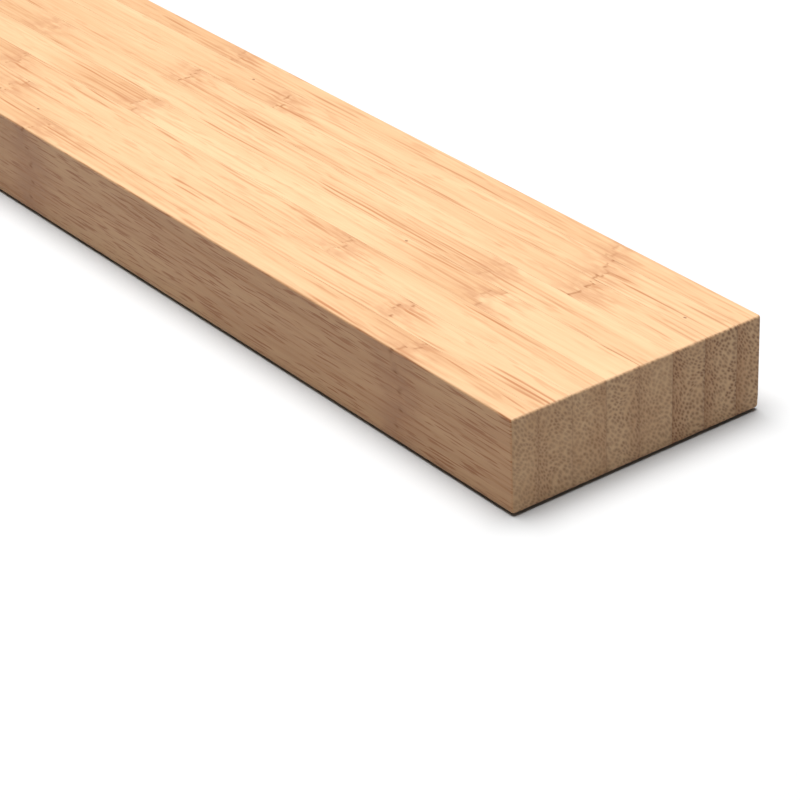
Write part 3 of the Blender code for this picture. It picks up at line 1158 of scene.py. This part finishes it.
def evaluated_mesh(item: bpy.types.Object) -> bpy.types.Mesh:
    """The mesh of an object with its modifiers applied."""
    seen = item.evaluated_get(bpy.context.evaluated_depsgraph_get())
    return bpy.data.meshes.new_from_object(seen)


def grow(item: bpy.types.Object, tree: bpy.types.NodeTree, values: dict) -> None:
    """Runs a geometry tree on an object and keeps the result as its plain mesh.

    Args:
        item: the object.
        tree: the geometry tree.
        values: the tree's inputs by name.
    """
    modifier = item.modifiers.new("shape", "NODES")
    modifier.node_group = tree
    sockets = {s.name: s.identifier for s in tree.interface.items_tree if s.in_out == "INPUT"}
    for label, value in values.items():
        modifier[sockets[label]] = value
    mesh = evaluated_mesh(item)
    item.modifiers.clear()
    item.data = mesh


def plane_flat(item: bpy.types.Object, levels: Sequence[float]) -> None:
    """Makes each glued side of a strip one flat face.

    Args:
        item: the strip.
        levels: the places of its glued sides across the rack.
    """
    form = bmesh.new()
    form.from_mesh(item.data)
    for level in levels:
        flat = [face for face in form.faces if all(abs(point.co.y - level) < SLIVER for point in face.verts)]
        bmesh.ops.dissolve_faces(form, faces=flat, use_verts=True)
    form.to_mesh(item.data)
    form.free()


def cut_away(item: bpy.types.Object, tools: Sequence[bpy.types.Object]) -> None:
    """Cuts the tools' shapes out of an object.

    Args:
        item: the object that is cut.
        tools: closed meshes.
    """
    group = bpy.data.collections.new("tools")
    for tool in tools:
        group.objects.link(tool)
    modifier = item.modifiers.new("cut", "BOOLEAN")
    modifier.operation = "DIFFERENCE"
    modifier.solver = "EXACT"
    modifier.operand_type = "COLLECTION"
    modifier.collection = group
    mesh = evaluated_mesh(item)
    item.modifiers.clear()
    item.data = mesh
    bpy.data.collections.remove(group)


def tidy_mesh(item: bpy.types.Object) -> None:
    """Merges doubles, turns the faces outwards and shades smooth between sharp edges.

    Args:
        item: an object with a plain mesh.
    """
    form = bmesh.new()
    form.from_mesh(item.data)
    bmesh.ops.remove_doubles(form, verts=form.verts, dist=TINY)
    bmesh.ops.recalc_face_normals(form, faces=form.faces)
    form.to_mesh(item.data)
    form.free()
    item.data.shade_smooth()
    item.data.set_sharp_from_angle(angle=SHARP_ANGLE)


def own_material(item: bpy.types.Object, material: bpy.types.Material) -> None:
    """Gives every face of an object one material.

    Args:
        item: the object.
        material: the material.
    """
    item.data.materials.clear()
    item.data.materials.append(material)
    item.data.polygons.foreach_set("material_index", np.zeros(len(item.data.polygons), np.int32))


def discard(items: Iterable[bpy.types.Object]) -> None:
    """Takes workshop objects away again."""
    for item in items:
        bpy.data.objects.remove(item)


def arc(centre: Point, radius: float, start: float, stop: float, sides: int) -> list[Point]:
    """Points on an arc.

    Args:
        centre: its centre.
        radius: its radius.
        start: its first angle in degrees.
        stop: its last angle in degrees.
        sides: how many straight sides it has.

    Returns:
        sides + 1 points.
    """
    angles = [math.radians(start + (stop - start) * n / sides) for n in range(sides + 1)]
    return [(centre[0] + radius * math.cos(a), centre[1] + radius * math.sin(a)) for a in angles]


def middle(low: Vector, high: Vector) -> Point:
    """The middle of a box, seen from above."""
    return ((low.x + high.x) / 2, (low.y + high.y) / 2)


def circle(radius: float, sides: int, centre: Point = (0.0, 0.0)) -> list[Point]:
    """The corners of a regular polygon, not closed."""
    return arc(centre, radius, 0.0, 360.0 * (sides - 1) / sides, sides - 1)


def rounded_rectangle(
    length: float, width: float, corner: float, sides: int = CORNER_SIDES, centre: Point = (0.0, 0.0)
) -> list[Point]:
    """A rectangle with round corners.

    Args:
        length: its size along X.
        width: its size along Y.
        corner: the corners' radius.
        sides: straight sides in each corner.
        centre: its centre.

    Returns:
        Its points, against the clock.
    """
    points: list[Point] = []
    for quarter, (sx, sy) in enumerate(((1, 1), (-1, 1), (-1, -1), (1, -1))):
        pivot = (centre[0] + sx * (length / 2 - corner), centre[1] + sy * (width / 2 - corner))
        points += arc(pivot, corner, 90.0 * quarter, 90.0 * (quarter + 1), sides)
    return points


def prism(name: str, outline: Sequence[Point], low: float, high: float) -> bpy.types.Object:
    """A closed upright solid.

    Args:
        name: the object's name.
        outline: its outline, against the clock.
        low: its lowest height.
        high: its highest height.

    Returns:
        The object.
    """
    count = len(outline)
    points = [(x, y, low) for x, y in outline] + [(x, y, high) for x, y in outline]
    faces = [tuple(reversed(range(count))), tuple(range(count, 2 * count))]
    faces += [(n, (n + 1) % count, count + (n + 1) % count, count + n) for n in range(count)]
    mesh = bpy.data.meshes.new(name)
    mesh.from_pydata(points, [], faces)
    return empty_object(name, mesh)


def turned(name: str, profile: Sequence[Point], sides: int) -> bpy.types.Object:
    """A closed solid turned about Z.

    Args:
        name: the object's name.
        profile: (radius, height) from the lowest point on the axis to the highest.
        sides: how many sides it has round the axis.

    Returns:
        The object.
    """
    points: list[tuple[float, float, float]] = []
    rings: list[list[int]] = []
    for radius, height in profile:
        if radius <= 0.0:
            rings.append([len(points)] * sides)
            points.append((0.0, 0.0, height))
            continue
        rings.append(list(range(len(points), len(points) + sides)))
        points += [(x, y, height) for x, y in circle(radius, sides)]
    faces = []
    for lower, upper in zip(rings, rings[1:]):
        for n in range(sides):
            m = (n + 1) % sides
            corners = list(dict.fromkeys((lower[n], lower[m], upper[m], upper[n])))
            faces.append(tuple(corners))
    mesh = bpy.data.meshes.new(name)
    mesh.from_pydata(points, [], faces)
    return empty_object(name, mesh)


def disc_profile(radius: float, low: float, high: float, edge: float, rings: int) -> list[Point]:
    """The profile of a disc with round edges.

    Args:
        radius: its radius.
        low: its lowest height.
        high: its highest height.
        edge: the radius of its edges.
        rings: how many rings its low face has.

    Returns:
        The profile from the axis to the axis.
    """
    flat = radius - edge
    profile = [(flat * n / rings, low) for n in range(rings)]
    profile += arc((flat, low + edge), edge, -90.0, 0.0, EDGE_SIDES)
    profile += arc((flat, high - edge), edge, 0.0, 90.0, EDGE_SIDES)
    return profile + [(0.0, high)]


def stamped(
    name: str, outer: Sequence[Point], holes: Sequence[Sequence[Point]], low: float, high: float, edge: float
) -> bpy.types.Object:
    """A flat plate with holes and softened edges.

    Args:
        name: the object's name.
        outer: its outline.
        holes: the outlines of its holes.
        low: its lowest height.
        high: its highest height.
        edge: the radius of its edges.

    Returns:
        The object, as a closed mesh.
    """
    curve = bpy.data.curves.new(name, "CURVE")
    curve.dimensions = "2D"
    curve.fill_mode = "BOTH"
    curve.extrude = (high - low) / 2 - edge
    curve.bevel_depth = edge
    curve.bevel_resolution = 2
    curve.offset = -edge
    for outline in (outer, *holes):
        spline = curve.splines.new("POLY")
        spline.points.add(len(outline) - 1)
        for point, (x, y) in zip(spline.points, outline):
            point.co = (x, y, 0.0, 1.0)
        spline.use_cyclic_u = True
    source = empty_object(name + "_outline", curve)
    mesh = evaluated_mesh(source)
    discard([source])
    mesh.transform(Matrix.Translation((0.0, 0.0, (low + high) / 2)))
    item = empty_object(name, mesh)
    tidy_mesh(item)
    return item


def hand_over(item: bpy.types.Object, nodes: Sequence[str]) -> None:
    """Puts a finished piece on the rack's body in place of its CAD nodes.

    Args:
        item: the finished piece.
        nodes: the CAD nodes that it stands for.
    """
    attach(item, BODY)
    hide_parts(*nodes)
    LOG.info("%s: %d faces, stands for %s", item.name, len(item.data.polygons), ", ".join(nodes))


# ------------------------------------------------------------------------------------------------------------
# Sub-assemblies
# ------------------------------------------------------------------------------------------------------------


@dataclass
class Recesses:
    """Everything that is milled and drilled into the block from its back."""

    magnets: list[tuple[Vector, Vector]]
    keeper: tuple[Vector, Vector]
    cover: tuple[Vector, Vector]
    plates: list[tuple[Vector, Vector]]
    screws: list[tuple[Vector, Vector]]
    pads: list[tuple[Vector, Vector]]
    overrun: float = 0.002
    groove_corner: float = 0.003
    plate_corner: float = 0.0025
    head_pocket: tuple[float, float, float] = (0.0105, 0.0155, 0.002)
    head_pocket_top: float = 0.0076
    screw_shank: float = 0.003
    round_sides: int = 48
    pocket_sides: int = 8
    tools: list[bpy.types.Object] = field(default_factory=list)

    def add_round(self, name: str, low: Vector, high: Vector, radius: float) -> None:
        """Adds a round tool under the middle of a box, up to its top and the gap."""
        outline = circle(radius, self.round_sides, middle(low, high))
        self.tools.append(prism(name, outline, -self.overrun, high.z + TOUCH_GAP))

    def build(self) -> None:
        """Makes one tool for each recess."""
        groove_low, groove_high = self.cover
        length = groove_high.x - groove_low.x + 2 * TOUCH_GAP
        width = groove_high.y - groove_low.y + 2 * TOUCH_GAP
        groove = rounded_rectangle(length, width, self.groove_corner)
        self.tools.append(prism("tool_groove", groove, -self.overrun, self.keeper[1].z + TOUCH_GAP))
        for low, high in self.magnets:
            self.add_round("tool_magnet", low, high, (high.x - low.x) / 2 + TOUCH_GAP)
        for low, high in self.plates:
            centre = middle(low, high)
            size = (high.x - low.x + 2 * TOUCH_GAP, high.y - low.y + 2 * TOUCH_GAP)
            seat = rounded_rectangle(*size, self.plate_corner + TOUCH_GAP, centre=centre)
            self.tools.append(prism("tool_seat", seat, -self.overrun, high.z + TOUCH_GAP))
            pocket = rounded_rectangle(*self.head_pocket, self.pocket_sides, centre)
            self.tools.append(prism("tool_pocket", pocket, -self.overrun, self.head_pocket_top))
        for low, high in self.screws:
            self.add_round("tool_screw", low, high, self.screw_shank / 2 + TOUCH_GAP)
        for low, high in self.pads:
            self.add_round("tool_pad", low, high, (high.x - low.x) / 2 + TOUCH_GAP)

    def across(self, low: float, high: float) -> list[bpy.types.Object]:
        """The tools that reach into a stretch of Y.

        Args:
            low: where the stretch starts.
            high: where it ends.

        Returns:
            The tools.
        """
        met = []
        for tool in self.tools:
            ys = [v.co.y for v in tool.data.vertices]
            if min(ys) < high and max(ys) > low:
                met.append(tool)
        return met


@dataclass
class BambooBlock:
    """The glued-up block of bamboo strips."""

    grain: bpy.types.NodeTree
    recesses: Recesses
    finishes: list[BambooFinish]
    seams: list[float]
    low: Vector
    high: Vector
    front_round: float = 0.0006
    back_round: float = 0.0008
    hairline: float = 0.00001
    relief: float = 0.00005
    lines_along: int = 300
    lines_across: int = 24
    lines_up: int = 26

    def build(self) -> list[bpy.types.Object]:
        """Grows every strip and mills its back.

        Returns:
            The strips.
        """
        tree = strip_tree()
        strips = []
        last = len(self.finishes)
        for number, finish in enumerate(self.finishes, start=1):
            low, high = self.seams[number - 1], self.seams[number]
            item = empty_object(f"strip_{number}")
            values = {
                "Length": self.high.x - self.low.x,
                "Rack Width": self.high.y - self.low.y,
                "Strip Width": high - low,
                "Strip Middle": (low + high) / 2,
                "Thickness": self.high.z - self.low.z,
                "Back": self.low.z,
                "Front Round": self.front_round,
                "Back Round": self.back_round,
                "Hairline": self.hairline,
                "Lines Along": self.lines_along,
                "Lines Across": self.lines_across,
                "Lines Up": self.lines_up,
                "Relief": self.relief,
                "Seed": finish.seed,
                "First Knot": finish.first_knot * MM,
                "Knot Spacing": finish.knot_spacing * MM,
            }
            grow(item, tree, values)
            glued = [low + self.hairline / 2] if number > 1 else []
            glued += [high - self.hairline / 2] if number < last else []
            plane_flat(item, glued)
            cut_away(item, self.recesses.across(low, high))
            tidy_mesh(item)
            strips.append(item)
        return strips

    def dress(self, strips: Sequence[bpy.types.Object]) -> None:
        """Gives every strip its own bamboo and puts it in its CAD node's place.

        Args:
            strips: the strips in order.
        """
        for number, (item, finish) in enumerate(zip(strips, self.finishes), start=1):
            own_material(item, finish.make(self.grain))
            hand_over(item, [f"slat_{number}"])


@dataclass
class MagnetRow:
    """The disc magnets behind the front face, their keeper bar and the bamboo cover over both."""

    grain: bpy.types.NodeTree
    metal: bpy.types.NodeTree
    rows: bpy.types.NodeTree
    names: list[str]
    edge: float = 0.0005
    sides: int = 64
    rings: int = 6
    turn_seed: int = 4
    cover_corner: float = 0.0027
    cover_edge: float = 0.0003
    keeper_corner: float = 0.0015
    keeper_edge: float = 0.0002
    nickel: MetalFinish = MetalFinish(
        name="magnet nickel",
        colour=(0.66, 0.65, 0.62),
        stain=(0.42, 0.39, 0.34),
        roughness=0.16,
        cloud_size=4.0,
        scratches=0.5,
        stain_share=0.25,
        seed=3.0,
    )
    steel: MetalFinish = MetalFinish(
        name="keeper steel",
        colour=(0.42, 0.43, 0.44),
        stain=(0.2, 0.17, 0.15),
        roughness=0.38,
        cloud_size=9.0,
        scratches=0.8,
        stain_share=0.5,
        seed=5.0,
    )

    def build(self) -> list[bpy.types.Object]:
        """Turns the magnets, rolls the keeper and saws the cover.

        Returns:
            The magnets, the keeper and the cover.
        """
        first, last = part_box(self.names[0]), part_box(self.names[-1])
        radius = (first[1].x - first[0].x) / 2
        span = (last[0].x + last[1].x - first[0].x - first[1].x) / 2
        profile = disc_profile(radius, first[0].z, first[1].z, self.edge, self.rings)
        disc = turned("disc", profile, self.sides)
        magnets = empty_object("magnet_row")
        values = {"Pattern": disc, "Count": len(self.names), "Spacing": span / (len(self.names) - 1)}
        grow(magnets, self.rows, {**values, "Turn": math.tau, "Seed": self.turn_seed})
        discard([disc])
        tidy_mesh(magnets)
        keeper = self.bar("keeper_strip", "keeper_bar", self.keeper_corner, self.keeper_edge)
        cover = self.bar("cover_strip", "back_cover", self.cover_corner, self.cover_edge)
        return [magnets, keeper, cover]

    def bar(self, name: str, node: str, corner: float, edge: float) -> bpy.types.Object:
        """A flat bar that fills a CAD node's box.

        Args:
            name: the piece's name.
            node: the CAD node.
            corner: the radius of its corners seen from the back.
            edge: the radius of its edges.

        Returns:
            The bar.
        """
        low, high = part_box(node)
        outline = rounded_rectangle(high.x - low.x, high.y - low.y, corner)
        return stamped(name, outline, [], low.z, high.z, edge)

    def dress(self, items: Sequence[bpy.types.Object]) -> None:
        """Gives the pieces their finishes and puts them in their CAD nodes' places.

        Args:
            items: the magnets, the keeper and the cover.
        """
        magnets, keeper, cover = items
        own_material(magnets, self.nickel.make(self.metal))
        own_material(keeper, self.steel.make(self.metal))
        low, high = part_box("back_cover")
        wood = BambooFinish(
            name="cover bamboo",
            middle=0.0,
            width=(high.y - low.y) / MM,
            dense_side=DenseSide.LOW_Y,
            seed=12.0,
            first_knot=96.0,
            knot_spacing=151.0,
            knot_lean=0.1,
            knot_step=0.3,
            scar=0.8,
            end_band=0.5,
            streaks=0.6,
            warmth=0.75,
            slope=0.025,
            pitch=1.1,
        )
        own_material(cover, wood.make(self.grain))
        hand_over(magnets, self.names)
        hand_over(keeper, ["keeper_bar"])
        hand_over(cover, ["back_cover"])


@dataclass
class WallHangers:
    """The two keyhole plates and their four countersunk screws."""

    metal: bpy.types.NodeTree
    rows: bpy.types.NodeTree
    corners: bpy.types.NodeTree
    plate_nodes: list[str]
    screw_nodes: list[str]
    corner: float = 0.0025
    edge: float = 0.00025
    eye: float = 0.0095
    slot: float = 0.0048
    drop: float = 0.005
    shank: float = 0.003
    rim: float = 0.0002
    tip: float = 0.0006
    tip_length: float = 0.003
    recess: tuple[float, float, float] = (0.0030, 0.0007, 0.0011)
    thread_pitch: float = 0.0013
    thread_depth: float = 0.00042
    eye_sides: int = 44
    slot_sides: int = 22
    screw_sides: int = 40
    shank_rings: int = 72
    tip_rings: int = 24
    recess_sides: int = 3
    turn_seed: int = 11
    zinc: MetalFinish = MetalFinish(
        name="hanger zinc",
        colour=(0.6, 0.6, 0.58),
        stain=(0.44, 0.44, 0.42),
        roughness=0.34,
        cloud_size=2.2,
        scratches=0.7,
        stain_share=0.4,
        seed=7.0,
    )
    yellow: MetalFinish = MetalFinish(
        name="screw zinc",
        colour=(0.55, 0.54, 0.5),
        stain=(0.5, 0.42, 0.26),
        roughness=0.3,
        cloud_size=1.4,
        scratches=0.4,
        stain_share=0.55,
        seed=9.0,
    )

    def keyhole(self) -> list[Point]:
        """The outline of the keyhole: a round eye, and a narrow slot above it.

        Returns:
            Its points, against the clock.
        """
        low, high = -self.drop / 2, self.drop / 2
        meet = math.degrees(math.acos(self.slot / self.eye))
        eye = arc((0.0, low), self.eye / 2, 180.0 - meet, 360.0 + meet, self.eye_sides)
        return eye + arc((0.0, high), self.slot / 2, 0.0, 180.0, self.slot_sides)

    def build(self) -> list[bpy.types.Object]:
        """Stamps the plates and turns the screws.

        Returns:
            The plates and the screws.
        """
        return [self.build_plates(), self.build_screws()]

    def build_plates(self) -> bpy.types.Object:
        """Stamps one plate, sinks its screw holes, and sets out two of them.

        Returns:
            The plates.
        """
        low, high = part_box(self.plate_nodes[0])
        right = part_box(self.plate_nodes[1])
        outline = rounded_rectangle(high.x - low.x, high.y - low.y, self.corner)
        plate = stamped("plate", outline, [self.keyhole()], low.z, high.z, self.edge)
        head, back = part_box(self.screw_nodes[0]), low.z
        reach = (head[0].y + head[1].y) / 2
        wide, narrow = (head[1].x - head[0].x) / 2 + TOUCH_GAP, self.shank / 2 + TOUCH_GAP
        rim = back + self.rim
        sink = [(0.0, back - MM), (wide, back - MM), (wide, rim), (narrow, rim + wide - narrow)]
        sink += [(narrow, high.z + MM), (0.0, high.z + MM)]
        tools = []
        for way in (-1.0, 1.0):
            tool = turned("sink", sink, self.screw_sides)
            tool.data.transform(Matrix.Translation((0.0, way * abs(reach), 0.0)))
            tools.append(tool)
        cut_away(plate, tools)
        plates = empty_object("keyhole_plates")
        spacing = middle(*right)[0] - middle(low, high)[0]
        grow(plates, self.rows, {"Pattern": plate, "Count": len(self.plate_nodes), "Spacing": spacing})
        discard([plate, *tools])
        tidy_mesh(plates)
        return plates

    def build_screws(self) -> bpy.types.Object:
        """Turns one screw, cuts its thread and cross recess, and sets out four of them.

        Returns:
            The screws.
        """
        low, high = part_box(self.screw_nodes[0])
        centre = middle(low, high)
        head, shank = (high.x - low.x) / 2, self.shank / 2
        neck = low.z + self.rim + head - shank
        rings, tip_rings = self.shank_rings, self.tip_rings
        run = [neck + (high.z - self.tip_length - neck) * n / rings for n in range(rings + 1)]
        taper = [high.z - self.tip_length * (1 - n / tip_rings) for n in range(1, tip_rings + 1)]
        profile = [(0.0, low.z), (head * 0.6, low.z), (head - 0.00015, low.z), (head, low.z + self.rim * 0.5)]
        profile += [(head, low.z + self.rim)] + [(shank, z) for z in run]
        for z in taper:
            profile.append((shank + (self.tip / 2 - shank) * (z - taper[0]) / (high.z - taper[0]), z))
        profile.append((0.0, high.z))
        screw = turned("screw", profile, self.screw_sides)
        values = {"Pitch": self.thread_pitch, "Depth": self.thread_depth, "Start": neck + MM, "Stop": high.z}
        grow(screw, thread_tree(), values)
        span, width, depth = self.recess
        sizes = ((span, width), (width, span))
        arms = [rounded_rectangle(*size, width * 0.3, self.recess_sides) for size in sizes]
        tools = [prism("cross", arm, low.z - MM, low.z + depth) for arm in arms]
        cut_away(screw, tools)
        screws = empty_object("hanger_screws")
        values = {"Pattern": screw, "Span Along": 2 * abs(centre[0]), "Span Across": 2 * abs(centre[1])}
        grow(screws, self.corners, {**values, "Turn": math.tau, "Seed": self.turn_seed})
        discard([screw, *tools])
        tidy_mesh(screws)
        return screws

    def dress(self, items: Sequence[bpy.types.Object]) -> None:
        """Gives the pieces their finishes and puts them in their CAD nodes' places.

        Args:
            items: the plates and the screws.
        """
        plates, screws = items
        own_material(plates, self.zinc.make(self.metal))
        own_material(screws, self.yellow.make(self.metal))
        hand_over(plates, self.plate_nodes)
        hand_over(screws, self.screw_nodes)


@dataclass
class WallPads:
    """The four rubber pads that stand on the wall."""

    corners: bpy.types.NodeTree
    names: list[str]
    edge: float = 0.00025
    ring_pitch: float = 0.0011
    ring_depth: float = 0.00018
    ring_inner: float = 0.0009
    ring_margin: float = 0.0006
    face_depth: float = 0.0002
    rings: int = 48
    sides: int = 72
    rubber: RubberFinish = RubberFinish()

    def build(self) -> bpy.types.Object:
        """Moulds one pad and sets out four of them.

        Returns:
            The pads.
        """
        low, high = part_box(self.names[0])
        radius = (high.x - low.x) / 2
        centre = middle(low, high)
        pad = turned("pad", disc_profile(radius, low.z, high.z, self.edge, self.rings), self.sides)
        values = {
            "Pitch": self.ring_pitch,
            "Depth": self.ring_depth,
            "Inner": self.ring_inner,
            "Outer": radius - self.ring_margin,
            "Face": low.z + self.face_depth,
        }
        grow(pad, rings_tree(), values)
        pads = empty_object("rubber_pads")
        values = {"Pattern": pad, "Span Along": 2 * abs(centre[0]), "Span Across": 2 * abs(centre[1])}
        grow(pads, self.corners, values)
        discard([pad])
        tidy_mesh(pads)
        return pads

    def dress(self, item: bpy.types.Object) -> None:
        """Gives the pads their rubber and puts them in their CAD nodes' places."""
        own_material(item, self.rubber.make())
        hand_over(item, self.names)


@dataclass
class Studio:
    """The pale floor, the soft light overhead and the camera."""

    floor_size: float = 8.0
    floor_colour: Colour = (0.472, 0.474, 0.476)
    floor_roughness: float = 0.7
    floor_shine: float = 0.1
    box_size: tuple[float, float] = (0.8, 0.8)
    box_place: tuple[float, float, float] = (0.02, 0.02, 1.15)
    box_power: float = 33.5
    sky: float = 0.1
    sky_colour: Colour = (0.97, 0.985, 1.0)
    lens: float = 137.87
    sensor: float = 36.0
    eye: tuple[float, float, float] = (0.58896, -0.34062, 0.30677)
    right: tuple[float, float, float] = (0.60667887, 0.79423978, -0.03352479)
    up: tuple[float, float, float] = (-0.37453456, 0.32277725, 0.8692173)
    back: tuple[float, float, float] = (0.701188, -0.51477958, 0.49329238)

    def build(self) -> None:
        """Lays the floor, hangs the light and sets up the camera."""
        self.lay_floor()
        self.hang_light()
        self.paint_sky()
        self.set_camera()
        bpy.context.scene.view_settings.view_transform = "Standard"

    def lay_floor(self) -> None:
        """Lays a wide pale floor under the rack, at its lowest point."""
        half = self.floor_size / 2
        mesh = bpy.data.meshes.new("floor")
        corners = [(-half, -half, 0), (half, -half, 0), (half, half, 0), (-half, half, 0)]
        mesh.from_pydata(corners, [], [(0, 1, 2, 3)])
        floor = empty_object("floor", mesh)
        material = bpy.data.materials.new("floor paint")
        material.use_nodes = True
        sheet = NodeSheet(material.node_tree)
        shader = material.node_tree.nodes["Principled BSDF"]
        place = sheet.wire(sheet.node("ShaderNodeTexCoord"), "Object")
        cloud = sheet.noise(sheet.vector("SCALE", place, 3.0), 2.0)
        tone = sheet.tint(1.0, rgba(self.floor_colour), grey(0.99 + cloud * 0.02), "MULTIPLY")
        sheet.feed(shader.inputs["Base Color"], tone)
        shader.inputs["Roughness"].default_value = self.floor_roughness
        shader.inputs["Specular IOR Level"].default_value = self.floor_shine
        floor.data.materials.append(material)
        floor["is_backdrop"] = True

    def hang_light(self) -> None:
        """Hangs a soft box over the rack."""
        light = bpy.data.lights.new("soft box", "AREA")
        light.shape = "RECTANGLE"
        light.size, light.size_y = self.box_size
        light.energy = self.box_power
        item = bpy.data.objects.new("soft box", light)
        item.location = self.box_place
        item.rotation_euler = Vector(self.box_place).to_track_quat("Z", "Y").to_euler()
        bpy.context.scene.collection.objects.link(item)

    def paint_sky(self) -> None:
        """Makes the room white to look at and dim as a light."""
        world = bpy.data.worlds.new("room")
        bpy.context.scene.world = world
        world.use_nodes = True
        sheet = NodeSheet(world.node_tree)
        background = world.node_tree.nodes["Background"]
        seen = sheet.wire(sheet.node("ShaderNodeLightPath"), "Is Camera Ray")
        sheet.feed(background.inputs["Strength"], sheet.ramp(seen, 0.0, 1.0, self.sky, 1.0, soft=False))
        background.inputs["Color"].default_value = rgba(self.sky_colour)

    def set_camera(self) -> None:
        """Sets up the camera."""
        data = bpy.data.cameras.new("camera")
        data.lens = self.lens
        data.sensor_width = self.sensor
        data.clip_start, data.clip_end = 0.01, 50.0
        item = bpy.data.objects.new("camera", data)
        columns = [Vector(self.right), Vector(self.up), Vector(self.back)]
        turn = Matrix(columns).transposed().to_4x4()
        item.matrix_world = Matrix.Translation(self.eye) @ turn
        bpy.context.scene.collection.objects.link(item)
        bpy.context.scene.camera = item


def strip_seams(nodes: Sequence[str]) -> list[float]:
    """Where the strips meet, across the rack.

    Args:
        nodes: the CAD strips in order.

    Returns:
        The low side of the first, the middle of each gap, and the high side of the last.
    """
    boxes = [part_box(name) for name in nodes]
    seams = [boxes[0][0].y]
    seams += [(near[1].y + far[0].y) / 2 for near, far in zip(boxes, boxes[1:])]
    return seams + [boxes[-1][1].y]


def strip_finishes(seams: Sequence[float]) -> list[BambooFinish]:
    """The bamboo of each strip, from the low side of the rack to the high side.

    Args:
        seams: where the strips meet, in metres.

    Returns:
        One finish for each strip.
    """
    near_end = 203.0
    low, high = DenseSide.LOW_Y, DenseSide.HIGH_Y
    # Dense side, seed, knot from the near end, knot spacing, knot lean, knot step, scar, end band, streaks,
    # warmth and slope.
    table = (
        (high, 1.0, 35.0, 138.0, 0.25, 0.2, 0.75, 0.3, 0.50, 0.38, 0.030),
        (low, 2.0, 48.5, 148.0, -0.15, 0.1, 1.0, 0.5, 0.52, 0.32, -0.026),
        (high, 3.0, 80.0, 130.0, 0.1, 0.2, 0.6, 0.35, 0.52, 0.34, 0.034),
        (high, 4.0, 41.6, 126.0, 0.0, 1.0, 0.6, 0.6, 0.12, 0.12, -0.022),
        (low, 5.0, 50.0, 172.0, 0.4, 0.3, 0.3, 0.35, 0.45, 0.26, 0.028),
        (low, 6.0, 32.0, 142.0, 0.2, 0.1, 1.0, 1.0, 0.52, 0.32, 0.024),
        (low, 7.0, 34.5, 112.0, -0.3, 0.2, 1.0, 1.0, 0.50, 0.26, -0.032),
        (low, 8.0, 40.0, 135.0, -0.25, 0.2, 0.45, 0.8, 0.48, 0.42, 0.028),
    )
    finishes = []
    for number, row in enumerate(table, start=1):
        side, seed, knot, spacing, lean, step, scar, band, streaks, warmth, slope = row
        first, last = seams[number - 1] / MM, seams[number] / MM
        finishes.append(
            BambooFinish(
                name=f"bamboo strip {number}",
                middle=(first + last) / 2,
                width=last - first,
                dense_side=side,
                seed=seed,
                first_knot=near_end - knot,
                knot_spacing=spacing,
                knot_lean=lean,
                knot_step=step,
                scar=scar,
                end_band=band,
                streaks=streaks,
                warmth=warmth,
                slope=slope,
            )
        )
    return finishes


def sized(label: str, corners: tuple[Vector, Vector]) -> dict[str, list[list[float]]]:
    """A box as plain lists of numbers under one label."""
    return {label: [[float(number) for number in corner] for corner in corners]}


def main() -> None:
    """Builds the rack round its CAD frame, piece by piece."""
    logging.basicConfig(level=logging.INFO, format="%(name)s %(message)s")
    sizes = sized("cad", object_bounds())
    nodes = frame["nodes"]

    def named(start: str) -> list[str]:
        """The CAD nodes whose names begin with start, in order."""
        return sorted(name for name in nodes if name.startswith(start))

    slats, magnets, plates = named("slat_"), named("magnet_"), named("hanger_plate_")
    screws, pads = named("hanger_screw_"), named("wall_pad_")
    grain, metal = BambooGrain().draw(), metal_wear_group()
    rows, corners = row_tree(), corners_tree()
    Studio().build()

    recesses = Recesses(
        magnets=[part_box(name) for name in magnets],
        keeper=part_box("keeper_bar"),
        cover=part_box("back_cover"),
        plates=[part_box(name) for name in plates],
        screws=[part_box(name) for name in screws],
        pads=[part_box(name) for name in pads],
    )
    recesses.build()
    seams = strip_seams(slats)
    corner_low = Vector(map(min, *(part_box(name)[0] for name in slats)))
    corner_high = Vector(map(max, *(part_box(name)[1] for name in slats)))
    block = BambooBlock(grain, recesses, strip_finishes(seams), seams, corner_low, corner_high)
    block.dress(block.build())
    discard(recesses.tools)

    magnet_row = MagnetRow(grain, metal, rows, magnets)
    magnet_row.dress(magnet_row.build())
    hangers = WallHangers(metal, rows, corners, plates, screws)
    hangers.dress(hangers.build())
    wall_pads = WallPads(corners, pads)
    wall_pads.dress(wall_pads.build())

    sizes.update(sized("visual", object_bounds()))


if __name__ == "__main__":
    main()
